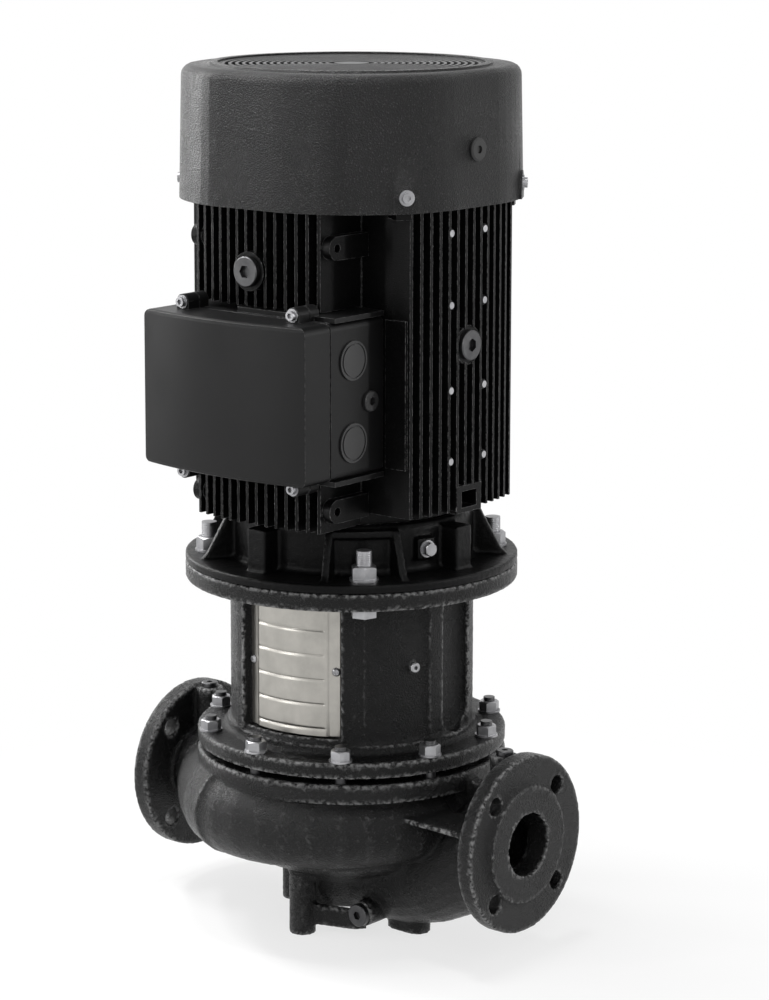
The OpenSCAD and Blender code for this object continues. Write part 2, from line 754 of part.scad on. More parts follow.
module bracket_gussets() {
  // A pair of gussets beside each motor bolt, under a short arch
  for (q = quarters, s = [-1, 1]) rotate([0, 0, q + 45 + s*gusset_a])
    translate([0, 4, 0]) rotate([90, 0, 0]) linear_extrude(8)
      polygon([[bracket_d/2 - 6, seat_z + motor_flange_t - 1], [seat_d/2 - 8, seat_z + motor_flange_t - 1],
        [seat_d/2 - 16, seat_z + motor_flange_t + 6], [bracket_d/2 + 7, frame_z - 4], [bracket_d/2 - 6, frame_z - 4]]);
  for (q = quarters) {
    sector(bracket_d/2 - 4, bracket_d/2 + 6, q + 45 - gusset_a, q + 45 + gusset_a, frame_z - 12, frame_z - 4);
    // Square pillar in the middle of each side
    rotate([0, 0, q]) translate([bracket_d/2 - 8, -pillar_w/2, seat_z + motor_flange_t - 1])
      cube([8 + pillar_out, pillar_w, bracket_h - motor_flange_t - 5]);
  }
}

module drive_end_bracket() {
  color(motor_black) difference() {
    union() {
      rotate_extrude($fn = 96) polygon([
        [bearing_od/2 - 8, seat_z - 6], [motor_spigot_r, seat_z - 6], [motor_spigot_r, seat_z], [seat_d/2 - 1, seat_z],
        [seat_d/2, seat_z + 1], [seat_d/2, seat_z + motor_flange_t - 1.5], [seat_d/2 - 1.5, seat_z + motor_flange_t],
        [bracket_d/2 + 4, seat_z + motor_flange_t], [bracket_d/2, seat_z + motor_flange_t + 4],
        [bracket_d/2, frame_z - 6], [bracket_d/2 - 3, frame_z], [bracket_d/2 - bracket_wall, frame_z],
        [bracket_d/2 - bracket_wall, seat_z + 14], [bearing_od/2 + 12, seat_z + 14],
        [bearing_od/2 + 10, bearing_z + bearing_w], [bearing_od/2, bearing_z + bearing_w],
        [bearing_od/2, bearing_z], [bearing_od/2 - 8, bearing_z]
      ]);
      bracket_gussets();
      // Boss of the drain plug
      rotate([0, 0, -90 + plug_a]) translate([bracket_d/2 - 6, -11, plug_z2 - 11]) cube([14, 22, 22]);
    }
    around(4, motor_pcd/2, 45)
      translate([0, 0, seat_z - 1]) cylinder(h = motor_flange_t + 2, d = motor_bolt_d + 2, $fn = 48);
    rotate([0, 0, -90 + plug_a]) translate([bracket_d/2 - 14, 0, plug_z2]) rotate([0, 90, 0])
      cylinder(h = 30, d = 10, $fn = 32);
    bracket_screw_places() cylinder(h = 60, d = 8.4, $fn = 32);
  }
}

plug_a = 74;
plug_z2 = seat_z + 34;

module bracket_plug() {
  color(steel) rotate([0, 0, -90 + plug_a]) translate([bracket_d/2 + 8, 0, plug_z2]) rotate([0, 90, 0]) {
    translate([0, 0, -16]) cylinder(h = 16 + eps, d = 10, $fn = 32);
    ring(9, 1.6);
    translate([0, 0, 1.6]) nut(13, 7);
  }
}

// Screws that hold the bracket to the frame, hidden inside
module bracket_screw_places() {
  around(4, bracket_d/2 - bracket_wall/2, 22.5) translate([0, 0, frame_z - 22]) children();
}

module bracket_screws() {
  color(dark_steel) bracket_screw_places() translate([0, 0, 2]) cylinder(h = 40, d = 8, $fn = 32);
}

motor_nut_t = 13;
module motor_bolts() {
  color(steel) around(4, motor_pcd/2, 45) {
    translate([0, 0, seat_z - seat_t - 10]) nut(24, 10 - eps);
    translate([0, 0, seat_z - seat_t - 2]) cylinder(h = seat_t + motor_flange_t + motor_nut_t + 20, d = motor_bolt_d, $fn = 48);
  }
}

module motor_nuts() {
  color(steel) around(4, motor_pcd/2, 45) translate([0, 0, seat_z + motor_flange_t]) difference() {
    union() {
      ring(15, 2.5);
      translate([0, 0, 2.5]) nut(24, motor_nut_t);
    }
    translate([0, 0, -1]) cylinder(h = motor_nut_t + 5, d = motor_bolt_d, $fn = 48);
  }
}

/* Motor frame */

fin_root = fin_tip + 1.8;
frame_bore = stator_r;
side_fin_z = frame_z + 13;
box_low = seat_z + 120 - 1;
box_top = box_low + box_h;
box_band = [box_low - 6, box_top + 6];
fin_places = [for (i = [0:fin_count - 1]) (i - (fin_count - 1)/2)*fin_pitch];

// Fins of one face in plan: the face looks along +X
module fin_plan(places) {
  intersection() {
    union() for (y = places) {
      x0 = sqrt(pow(frame_bore + 4, 2) - y*y);
      polygon([[x0, y - fin_root/2], [fin_reach + 1, y - fin_tip/2], [fin_reach + 1, y + fin_tip/2], [x0, y + fin_root/2]]);
    }
    translate([fin_reach - fin_arc, 0]) circle(r = fin_arc, $fn = 180);
  }
}

peg_y = 27;
peg_z = [frame_z + 65, frame_z + 138, frame_z + 225, frame_z + 298];
side_plug_z = frame_z + 182;
front_plug_z = frame_top - 73;
eye_boss_r = 20;
eye_hole_r = 9;
lug_z = [frame_z + 22, frame_top - 45];
lug_out = 132;
lug_round = 12;
lug_t = 15;
ear_h = 17;
ear_w = 16;

module frame_lugs() {
  // Lugs with a hole on the side walls of the corner notches
  for (sx = [0, 1], sy = [0, 1], z = lug_z) mirror([sx, 0, 0]) mirror([0, sy, 0]) {
    x0 = fin_places[fin_count - 1] - 3;
    translate([x0, -lug_out, z]) rotate([0, 90, 0]) cylinder(h = lug_t, r = lug_round, $fn = 48);
    translate([x0, -lug_out, z - lug_round]) cube([lug_t, 4*lug_round, 2*lug_round]);
  }
}

module motor_frame() {
  color(motor_black) difference() {
    union() {
      translate([0, 0, frame_z]) ring(barrel_r, frame_h);
      for (q = [0, 90, 180]) rotate([0, 0, q]) translate([0, 0, side_fin_z])
        linear_extrude(frame_top - side_fin_z) fin_plan(fin_places);
      // The front fins stop above and below the terminal box
      rotate([0, 0, -90]) {
        translate([0, 0, frame_z]) linear_extrude(box_band[0] - frame_z) fin_plan(fin_places);
        translate([0, 0, box_band[1]]) linear_extrude(frame_top - box_band[1]) fin_plan(fin_places);
      }
      // Pad that carries the terminal box, with the side walls of the front block
      translate([-pad_half, pad_y, box_low + box_wall + 2]) cube([2*pad_half, -pad_y - 70, box_h - 2*box_wall - 4]);
      // Bosses of the lifting eye plugs, and the bosses of the pegs
      for (q = [0, 90, 180]) rotate([0, 0, q]) translate([barrel_r - 8, 0, side_plug_z]) rotate([0, 90, 0])
        cylinder(h = fin_reach - barrel_r + 6, r = eye_boss_r, $fn = 48);
      translate([0, -barrel_r + 8, front_plug_z]) rotate([90, 0, 0])
        cylinder(h = fin_reach - barrel_r + 11, r = eye_boss_r, $fn = 48);
      for (q = [0, 180], s = [-1, 1], z = peg_z) rotate([0, 0, q]) translate([barrel_r - 12, s*peg_y, z])
        rotate([0, 90, 0]) cylinder(h = fin_reach - barrel_r + 8, r = 5, $fn = 32);
      // Block at the foot of the side fins
      for (q = [0, 180]) rotate([0, 0, q]) translate([barrel_r - 8, -20, side_fin_z - 3]) cube([fin_reach - barrel_r + 8, 40, 28]);
      // Raised pads on the front walls of the side blocks
      for (m = [0, 1]) mirror([m, 0, 0]) translate([box_x + box_w/2 + 4, -fin_places[fin_count - 1] - 5, box_low + 4])
        cube([26, 8, box_h - 8]);
      frame_lugs();
      // Ears under the arms of the fan end shield
      for (a = screw_angles) rotate([0, 0, a]) translate([barrel_r - 4, -ear_w/2, frame_top - ear_h])
        cube([lug_r - barrel_r + 2, ear_w, ear_h]);
    }
    translate([0, 0, frame_z - 1]) cylinder(h = frame_h + 2, r = frame_bore, $fn = 96);
    for (q = [0, 90, 180]) rotate([0, 0, q]) translate([frame_bore + 6, 0, side_plug_z]) rotate([0, 90, 0])
      cylinder(h = 60, r = eye_hole_r, $fn = 32);
    translate([0, -frame_bore - 6, front_plug_z]) rotate([90, 0, 0]) cylinder(h = 70, r = eye_hole_r, $fn = 32);
    for (q = [0, 90, 180]) rotate([0, 0, q]) translate([fin_reach - 2, 0, side_plug_z]) rotate([0, 90, 0])
      cylinder(h = 10, r = eye_boss_r - 1.5, $fn = 48);
    for (q = [0, 180], s = [-1, 1], z = peg_z) rotate([0, 0, q]) translate([barrel_r + 4, s*peg_y, z])
      rotate([0, 90, 0]) {
        cylinder(h = 60, r = 2, $fn = 32);
        translate([0, 0, fin_reach - barrel_r - 8]) cylinder(h = 20, r = 4.4, $fn = 32);
      }
    for (q = [0, 180]) rotate([0, 0, q]) translate([barrel_r + 14, -12, side_fin_z + 2]) cube([60, 24, 17]);
    for (sx = [0, 1], sy = [0, 1], z = lug_z) mirror([sx, 0, 0]) mirror([0, sy, 0])
      translate([70, -lug_out, z]) rotate([0, 90, 0]) cylinder(h = 40, r = 4.5, $fn = 32);
    // Way of the leads into the terminal box
    translate([-24, -200, (box_low + box_top)/2 - 24]) cube([48, 120, 48]);
    bracket_screw_places() cylinder(h = 44, d = 8, $fn = 32);
    shield_screw_places() translate([0, 0, -22]) cylinder(h = 24, d = 6, $fn = 32);
  }
}

module eye_plugs() {
  color(dark_steel) {
    for (q = [0, 90, 180]) rotate([0, 0, q]) translate([fin_reach - 2, 0, side_plug_z]) rotate([0, 90, 0])
      socket_plug(2*eye_hole_r, 20, 31, 5, 12);
    translate([0, -fin_reach - 3, front_plug_z]) rotate([90, 0, 0]) socket_plug(2*eye_hole_r, 20, 31, 6, 12);
  }
}

module fin_pegs() {
  color(steel) for (q = [0, 180], s = [-1, 1], z = peg_z) rotate([0, 0, q])
    translate([fin_reach - 4, s*peg_y, z]) rotate([0, 90, 0]) {
      translate([0, 0, -12]) cylinder(h = 12 + eps, r = 2, $fn = 32);
      ring(3.6, 2);
    }
}

// Ends of the stator core, its windings' overhang and the rotor
core_low = frame_z + 70;
core_high = frame_top - 73;
winding_h = 40;
rotor_r = 66;
end_ring_t = 8;

module stator_core() {
  color(steel) translate([0, 0, core_low]) ring(stator_r, core_high - core_low, rotor_r + air_gap);
}

module stator_windings() {
  h = winding_h;
  color(copper) for (z = [core_low - h, core_high]) translate([0, 0, z]) rotate_extrude($fn = 96)
    polygon([[rotor_r + 8, 0], [stator_r - 12, 0], [stator_r - 6, 8], [stator_r - 6, h - 8], [stator_r - 12, h],
      [rotor_r + 8, h], [rotor_r + 4, h - 8], [rotor_r + 4, 8]]);
}

module rotor_core() {
  color(steel) {
    translate([0, 0, core_low - 2]) ring(rotor_r, core_high - core_low + 4, motor_shaft_d/2 + 6);
    for (z = [core_low - 2 - end_ring_t, core_high + 2]) translate([0, 0, z])
      ring(rotor_r - 4, end_ring_t, motor_shaft_d/2 + 10);
  }
}

fan_z = fan_bearing_z + fan_bearing_w + 14;
module motor_shaft() {
  rb = bearing_id/2;
  color(steel) rotate_extrude($fn = 96) polygon([
    [0, motor_shaft_foot], [motor_shaft_d/2 - 1.5, motor_shaft_foot], [motor_shaft_d/2, motor_shaft_foot + 1.5],
    [motor_shaft_d/2, bearing_z - 6], [rb, bearing_z - 6], [rb, bearing_z + bearing_w],
    [rb + 4, bearing_z + bearing_w], [motor_shaft_d/2 + 6, core_low - 30],
    [motor_shaft_d/2 + 6, core_high + 30], [fan_bearing_id/2 + 4, core_high + 40],
    [fan_bearing_id/2 + 4, fan_bearing_z], [fan_bearing_id/2, fan_bearing_z],
    [fan_bearing_id/2, fan_bearing_z + fan_bearing_w], [16, fan_bearing_z + fan_bearing_w],
    [16, fan_z + 40], [0, fan_z + 40]
  ]);
}

// Outer ring of a ball bearing, with its race
module outer_ring(od, id, w) {
  ball = (od - id)/6.4;
  mid = (od + id)/4;
  rotate_extrude($fn = 96) difference() {
    translate([mid + ball*0.5, 0]) square([od/2 - mid - ball*0.5, w]);
    translate([mid, w/2]) circle(r = ball + 0.1, $fn = 48);
  }
}
module inner_ring(od, id, w) {
  ball = (od - id)/6.4;
  mid = (od + id)/4;
  rotate_extrude($fn = 96) difference() {
    translate([id/2, 0]) square([mid - ball*0.5 - id/2, w]);
    translate([mid, w/2]) circle(r = ball, $fn = 48);
  }
}
module bearings() {
  translate([0, 0, bearing_z]) children(0);
  translate([0, 0, fan_bearing_z]) children(1);
}

module bearing_outer_rings() {
  color(steel) bearings() {
    outer_ring(bearing_od, bearing_id, bearing_w);
    outer_ring(fan_bearing_od, fan_bearing_id, fan_bearing_w);
  }
}

module bearing_inner_rings() {
  color(steel) bearings() {
    inner_ring(bearing_od, bearing_id, bearing_w);
    inner_ring(fan_bearing_od, fan_bearing_id, fan_bearing_w);
  }
}

module bearing_balls() {
  color(steel) bearings() {
    around(8, (bearing_od + bearing_id)/4) translate([0, 0, bearing_w/2])
      sphere(r = (bearing_od - bearing_id)/6.4, $fn = 32);
    around(8, (fan_bearing_od + fan_bearing_id)/4) translate([0, 0, fan_bearing_w/2])
      sphere(r = (fan_bearing_od - fan_bearing_id)/6.4, $fn = 32);
  }
}

/* Fan end */

screw_xy = [150, 94];
cover_screw_z = cover_z + 16;
shield_z = frame_top;

module shield_screw_places() {
  around(4, barrel_r - 4.5, 45) translate([0, 0, shield_z]) children();
}

// Directions of the four cover screws
screw_angles = [for (sx = [1, -1], sy = [1, -1]) atan2(sy*screw_xy[1], sx*screw_xy[0])];

module fan_end_shield() {
  color(motor_black) difference() {
    union() {
      rotate_extrude($fn = 96) polygon([
        [fan_bearing_id/2 + 6, shield_z], [barrel_r, shield_z], [barrel_r, shield_z + 10], [60, shield_z + 16],
        [fan_bearing_od/2 + 10, fan_bearing_z + fan_bearing_w + 4], [fan_bearing_id/2 + 6, fan_bearing_z + fan_bearing_w + 4]
      ]);
      // Arms that carry the fan cover
      for (a = screw_angles) rotate([0, 0, a]) {
        translate([90, -9, shield_z]) cube([lug_r - 92, 18, 10]);
        translate([lug_r - 14, -10, shield_z]) cube([14, 20, cover_screw_z - shield_z + 11]);
      }
    }
    translate([0, 0, fan_bearing_z]) cylinder(h = fan_bearing_w, d = fan_bearing_od, $fn = 96);
    translate([0, 0, shield_z - 1]) cylinder(h = 60, r = fan_bearing_id/2 + 6, $fn = 96);
    for (a = screw_angles) rotate([0, 0, a]) translate([lug_r - 12, 0, cover_screw_z])
      rotate([0, 90, 0]) cylinder(h = 20, d = 6, $fn = 32);
    shield_screw_places() translate([0, 0, -2]) cylinder(h = 24, d = 6, $fn = 32);
  }
}

// Outline of the fan cover, grown outwards by g: a square with wide round corners
function cover_outline(g, z, n = 16) =
  let (c = cover_reach - cover_corner, r = cover_corner + g)
  [for (k = [0:3], i = [0:n - 1]) let (a = k*90 + i*90/n + 45/n, q = 90*k)
    [c*(cos(q) - sin(q)) + r*cos(a), c*(sin(q) + cos(q)) + r*sin(a), z]];

function cover_g(z, wall) = -wall - cover_draft*(z - cover_z)/cover_h;

// Upright cover form: rings up the sides, then round the edge
module cover_form(wall, low) {
  top = cover_top - wall;
  e = cover_edge - wall*0.6;
  loft([for (z = [low, (low + top - e)/2, top - e]) cover_outline(cover_g(z, wall), z),
    for (i = [1:5]) let (a = i*18) cover_outline(cover_g(top - e, wall) - e*(1 - cos(a)), top - e + e*sin(a))]);
}

grille_r = 138;
lip_t = 4;

// Radius of the cover's inner face in the direction of a screw
lug_r = norm(screw_xy) - cover_wall - 2;

// Pad under the head of a cover screw, round above and open to the foot
tab_r = 13;
tab_t = 7;
module cover_tabs() {
  for (a = screw_angles) rotate([0, 0, a]) translate([norm(screw_xy) + 1 - tab_t, 0, cover_screw_z])
    rotate([0, 90, 0]) {
      cylinder(h = tab_t, r = tab_r, $fn = 48);
      translate([0, -tab_r, 0]) cube([cover_screw_z - cover_z, 2*tab_r, tab_t]);
    }
}

module fan_cover() {
  color(motor_black) difference() {
    union() {
      cover_form(0, cover_z);
      cover_tabs();
      translate([0, 0, cover_top - 1]) ring(grille_r + 8, 3);
    }
    cover_form(cover_wall, cover_z - 1);
    translate([0, 0, cover_top - 20]) cylinder(h = 30, r = grille_r, $fn = 96);
    for (a = screw_angles) rotate([0, 0, a]) translate([lug_r - 6, 0, cover_screw_z])
      rotate([0, 90, 0]) cylinder(h = 24, d = 6.4, $fn = 32);
    translate([cover_reach - 12, 0, cover_plug_z]) rotate([0, 90, 0]) cylinder(h = 24, r = 8, $fn = 32);
  }
}

cover_plug_z = cover_z + 58;

module fan_cover_plug() {
  lift = 12*cover_draft/cover_h + slip_gap/2;
  color(rubber) translate([cover_reach + cover_g(cover_plug_z, 0) + lift, 0, cover_plug_z]) rotate([0, 90, 0]) {
    difference() {
      rotate_extrude($fn = 48)
        polygon([[0, -cover_wall], [8, -cover_wall], [8, 0], [12, 0], [12, 1.6], [10, 2.8], [0, 2.8]]);
      translate([0, 0, 0.5]) cylinder(h = 4, r = 4, $fn = 32);
    }
  }
}

module fan_grille() {
  gap = (grille_r - 24)/grille_rings;
  color(plastic) translate([0, 0, cover_top - lip_t]) {
    ring(18, lip_t);
    for (i = [0:grille_rings - 1]) ring(24 + i*gap + gap*0.45, lip_t, 24 + i*gap);
    ring(grille_r, lip_t, grille_r - 3);
    for (i = [0:grille_spokes - 1]) rotate([0, 0, i*360/grille_spokes])
      translate([10, -1.5, 0.5]) cube([grille_r - 11, 3, lip_t - 1.5]);
  }
}

module fan_cover_screws() {
  color(steel) for (a = screw_angles) rotate([0, 0, a]) translate([norm(screw_xy) + 1, 0, cover_screw_z])
    rotate([0, 90, 0]) difference() {
      union() {
        translate([0, 0, -14]) cylinder(h = 14 + eps, d = 6, $fn = 32);
        ring(8, 1.4);
        translate([0, 0, 1.4]) ring(5.4, 3.4);
      }
      translate([0, 0, 2.4]) hex(5, 4);
    }
}

fan_blades = 9;
fan_r = 132;
fan_hub_r = 30;
fan_h = 34;
module fan() {
  color(plastic) translate([0, 0, fan_z]) {
    ring(fan_hub_r, fan_h, 16);
    translate([0, 0, 4]) ring(fan_r, 4, 16);
    for (i = [0:fan_blades - 1]) rotate([0, 0, i*360/fan_blades])
      translate([fan_hub_r - 2, -1.5, 7]) cube([fan_r - fan_hub_r - 2, 3, fan_h]);
  }
}

/* Terminal box, on the front of the motor */

pad_y = -126;
pad_half = 78;
box_gap = 0.75;
box_back = -fin_places[fin_count - 1] - fin_root/2 - box_gap;
lid_y = lid_t - box_reach;
boss_x = 74;
boss_z = 7.5;
boss_t = 13;
knockout_y = 132;
knockout_z = [box_low + 36, box_low + 119];
side_plug_at = [106, box_low + 75];

// Rounded rectangle in plan of the front, from the middle of the box
module box_plan(w, h, r) {
  x = w/2 - r;
  y = h/2 - r;
  union() {
    square([w, 2*y], center = true);
    square([2*x, h], center = true);
    for (sx = [-1, 1], sy = [-1, 1]) translate([sx*x, sy*y]) circle(r = r, $fn = 32);
  }
}

// Turns a plan so that it stands on the plane y = at and runs forward by t
module forward(at, t) {
  translate([box_x, at, (box_low + box_top)/2]) rotate([90, 0, 0]) linear_extrude(t) children();
}

module box_corners() {
  for (sx = [-1, 1], sz = [-1, 1])
    translate([box_x + sx*boss_x, 0, (box_low + box_top)/2 + sz*(box_h/2 + boss_z)]) children();
}

module box_base() {
  color(box_black) difference() {
    union() {
      forward(pad_y, lid_y*-1 + pad_y) box_plan(box_w, box_h, 8);
      // Skirt that reaches back past the side walls of the front block
      forward(box_back, pad_y*-1 + box_back + 1) difference() {
        box_plan(box_w, box_h, 8);
        square([box_w - 2*box_wall, box_h - 2*box_wall], center = true);
      }
      // Cable plate flanges above and below on the side of the knock-outs
      for (z = [box_low - 5, box_top]) translate([box_x - 20, -160, z]) cube([box_w/2 + 21, 160 + box_back, 5]);
      box_corners() translate([0, lid_y - 1, 0]) rotate([-90, 0, 0]) cylinder(h = boss_t, r = 8, $fn = 32);
      for (sx = [-1, 1], sz = [-1, 1])
        translate([box_x + sx*boss_x - 8, lid_y - 1, (box_low + box_top)/2 + sz*(box_h/2 + boss_z/2) - boss_z/2])
          cube([16, boss_t, boss_z]);
    }
    forward(pad_y - 4, 60) box_plan(box_w - 2*box_wall, box_h - 2*box_wall, 5);
    translate([0, 0, box_low - 20]) cylinder(h = box_h + 40, r = barrel_r + slip_gap, $fn = 96);
    translate([-30, -200, (box_low + box_top)/2 - 30]) cube([60, 120, 60]);
    for (z = knockout_z) translate([0, -knockout_y, z]) rotate([0, 90, 0]) cylinder(h = 160, d = knockout_d - 3, $fn = 48);
    translate([0, -side_plug_at[0], side_plug_at[1]]) rotate([0, 90, 0]) cylinder(h = 160, d = 16, $fn = 32);
    box_corners() translate([0, lid_y - 2, 0]) rotate([-90, 0, 0]) cylinder(h = 20, d = 6, $fn = 32);
  }
}

module box_gasket() {
  color(rubber) forward(lid_y, 2) difference() {
    box_plan(box_w - 2, box_h - 2, 7);
    box_plan(box_w - 2*box_wall + 1, box_h - 2*box_wall + 1, 4);
  }
}

// Radius of the bulged front in plan, and of its upper and lower edges
lid_front_r = (pow(box_w/2, 2) + pow(lid_bulge, 2))/(2*lid_bulge);
lid_edge = 4;

// Block that gives the lid its bulged front, smaller by w on all sides
module lid_block(w) {
  r = lid_front_r - w;
  low = box_low + w;
  high = box_top - w;
  e = lid_edge - w/2;
  back = r - lid_t - lid_bulge - 30;
  translate([box_x, lid_front_r - box_reach - lid_bulge, 0]) rotate([0, 0, -110])
    rotate_extrude(angle = 40, $fn = 360) polygon([
      [back, low], [r - e, low], [r - e*0.3, low + e*0.3], [r, low + e],
      [r, high - e], [r - e*0.3, high - e*0.3], [r - e, high], [back, high]
    ]);
}

module box_lid() {
  color(box_black) difference() {
    union() {
      intersection() {
        forward(lid_y - 2, lid_t + lid_bulge) box_plan(box_w, box_h, 8);
        lid_block(0);
      }
      box_corners() translate([0, lid_y - 18, 0]) rotate([-90, 0, 0]) cylinder(h = 17 - 1, r = 8, $fn = 32);
      for (sx = [-1, 1], sz = [-1, 1])
        translate([box_x + sx*boss_x - 8, lid_y - 18, (box_low + box_top)/2 + sz*(box_h/2 + boss_z/2) - boss_z/2 - 1])
          cube([16, 16, boss_z + 2]);
    }
    intersection() {
      forward(lid_y - 1, lid_t + lid_bulge) box_plan(box_w - 2*box_wall, box_h - 2*box_wall, 5);
      lid_block(box_wall);
    }
    box_corners() translate([0, lid_y - 20, 0]) rotate([-90, 0, 0]) cylinder(h = 40, d = 6 + 2*slip_gap, $fn = 32);
  }
}

module box_screws() {
  color(steel) box_corners() translate([0, lid_y - 18, 0]) rotate([90, 0, 0]) difference() {
    union() {
      translate([0, 0, -30]) cylinder(h = 30 + eps, d = 6, $fn = 32);
      ring(7, 1.2);
      translate([0, 0, 1.2]) ring(5, 4);
    }
    translate([0, 0, 2.4]) hex(5, 4);
  }
}

module knockout_plugs() {
  color(plastic) for (z = knockout_z) translate([box_x + box_w/2 - box_wall, -knockout_y, z]) rotate([0, 90, 0])
    difference() {
      union() {
        cylinder(h = box_wall, d = knockout_d - 3, $fn = 48);
        translate([0, 0, box_wall]) ring(knockout_d/2, 2);
      }
      translate([0, 0, box_wall + 1]) ring(knockout_d/2 - 2, 3, knockout_d/2 - 4);
    }
}

module box_side_plug() {
  color(plastic) translate([box_x + box_w/2, -side_plug_at[0], side_plug_at[1]]) rotate([0, 90, 0])
    socket_plug(16, box_wall, 21, 4, 8);
}

module terminal_board() {
  color(brass) translate([-40, pad_y - 4 - 10, (box_low + box_top)/2 + 34]) cube([80, 10, 30]);
}

module terminal_studs() {
  color(brass) for (i = [-1:1], k = [0, 1]) translate([i*24, pad_y - 14, (box_low + box_top)/2 + 41 + 15*k])
    rotate([90, 0, 0]) {
      cylinder(h = 14, d = 5, $fn = 24);
      nut(8, 4);
    }
}

pump_housing();
wear_ring();
drain_plug();
gauge_plugs();
head_gasket();
motor_stool();
head_studs();
head_nuts();
vent_screw();
seal_seat();
seal_ring();
seal_spring();
seal_collar();
impeller();
impeller_screw();
pump_shaft();
coupling_half_front();
coupling_half_rear();
coupling_screws();
guard_front();
guard_rear();
guard_screws();
drive_end_bracket();
motor_bolts();
motor_nuts();
bracket_plug();
bracket_screws();
motor_frame();
stator_core();
stator_windings();
rotor_core();
motor_shaft();
bearing_outer_rings();
bearing_inner_rings();
bearing_balls();
fan_end_shield();
fan();
fan_cover();
fan_grille();
fan_cover_screws();
fan_cover_plug();
eye_plugs();
fin_pegs();
box_base();
box_gasket();
box_lid();
box_screws();
knockout_plugs();
box_side_plug();
terminal_board();
terminal_studs();
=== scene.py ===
"""Looks of a vertical in-line circulation pump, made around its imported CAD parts. Metres, +Z up."""

import json
import math

import bmesh
import bpy
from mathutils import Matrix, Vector


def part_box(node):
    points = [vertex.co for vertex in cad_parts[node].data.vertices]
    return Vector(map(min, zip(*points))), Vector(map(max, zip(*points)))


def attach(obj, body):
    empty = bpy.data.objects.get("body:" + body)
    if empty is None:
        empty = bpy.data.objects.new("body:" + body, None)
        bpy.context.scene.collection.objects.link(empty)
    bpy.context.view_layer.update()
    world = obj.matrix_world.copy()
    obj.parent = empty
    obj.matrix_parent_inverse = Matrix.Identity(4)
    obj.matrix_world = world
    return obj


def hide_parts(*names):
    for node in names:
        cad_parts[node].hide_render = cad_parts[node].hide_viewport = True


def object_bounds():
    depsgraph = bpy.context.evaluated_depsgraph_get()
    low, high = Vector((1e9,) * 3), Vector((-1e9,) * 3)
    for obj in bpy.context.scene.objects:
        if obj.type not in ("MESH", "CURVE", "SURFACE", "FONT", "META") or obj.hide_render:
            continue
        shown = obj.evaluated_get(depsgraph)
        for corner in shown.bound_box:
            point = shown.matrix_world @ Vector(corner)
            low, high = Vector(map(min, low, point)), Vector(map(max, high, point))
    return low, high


MM = 0.001

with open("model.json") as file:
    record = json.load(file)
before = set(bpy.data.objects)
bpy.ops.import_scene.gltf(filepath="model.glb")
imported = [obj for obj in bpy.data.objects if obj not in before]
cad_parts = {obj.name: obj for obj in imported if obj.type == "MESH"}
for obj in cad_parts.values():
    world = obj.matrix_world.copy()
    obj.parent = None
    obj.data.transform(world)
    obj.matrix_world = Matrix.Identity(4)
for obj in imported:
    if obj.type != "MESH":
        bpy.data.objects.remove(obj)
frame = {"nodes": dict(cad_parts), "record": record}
cad_low, cad_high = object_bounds()

# Camera, fitted to the photograph: it looks down a little at the pump from front right
FRAME_W = 769
FRAME_H = 1000
CAMERA_TURN = 40.19
CAMERA_FAR = 3.252
CAMERA_HIGH = 1.141
CAMERA_PITCH = 9.41
CAMERA_SHIFT = -0.14
CAMERA_CLIP = 60
FOCAL_PX = 3152
AXIS_PX = 351.5
SENSOR_MM = 36

# White paper under the pump. Up to one radius this share of it is plain white and the rest shows the
# shadow, and beyond another radius all of it is plain white
PAPER_RADIUS = 30
PAPER_DROP = 0.0005
PAPER_COLOUR = 0.82
SHADOW_FROM = 0.22
SHADOW_TO = 0.75
NEAR_WHITE = 0.72

# Lamps: azimuth and elevation in degrees, distance, width and height in metres, and how bright they look
LIGHT_AIM = Vector((0, 0, 0.5))
SKY_STRENGTH = 0.35
LAMPS = {
    "left": (-98, 14, 2.6, 0.5, 1.6, 10),
    "left_strip": (-58, 12, 2.6, 0.2, 1.6, 16),
    "front_strip": (-24, 12, 2.6, 0.12, 1.6, 24),
    "near_strip": (51, 24, 2.6, 0.08, 1.4, 26),
    "right": (122, 15, 2.6, 0.2, 1.7, 18),
    "high_left": (-84, 43, 2.5, 0.5, 0.3, 60),
    "high_front": (-58, 62, 2.5, 0.5, 0.3, 55),
    "top": (0, 80, 2.4, 0.6, 0.3, 50),
}

# Finishes: which range of a noise, or of a surface's bend, becomes 0 to 1
NOISE_TO_BUMPS = (0.3, 0.72)
NOISE_TO_PEAKS = (0.6, 0.74)
NOISE_TO_BREAKS = (0.4, 0.6)
NOISE_TO_CLOUDS = (0.3, 0.7)
NOISE_TO_LINES = (0.3, 0.7)
NORMALS_TO_EDGE = (0.985, 0.8)
POINTED_TO_EDGE = (0.508, 0.545)

# How many fine bumps stand side by side on one coarse bump of a coat
FINE_PER_COARSE = 2.7

# Castings: how the skin is softened, filled out in the creases between these heights, and grained
SOFTENING = 0.5
SOFT_ROUNDS = 2
CREASE_ROUNDS = 26
CREASE_LOW = 0.052
CREASE_HIGH = 0.155
CREASE_REACH = 0.15
CREASE_RISE = 0.01
CREASE_END = 0.02
SAND_GRAIN = 0.0045
SAND_DEPTH = 0.0007

# Edges of the fan cover that turn by more degrees than this stay hard
COVER_SHARP = 32

# Corners nearer than this are one corner, in mm
SAME_CORNER = 0.01
SAME_THREAD_CORNER = 0.001

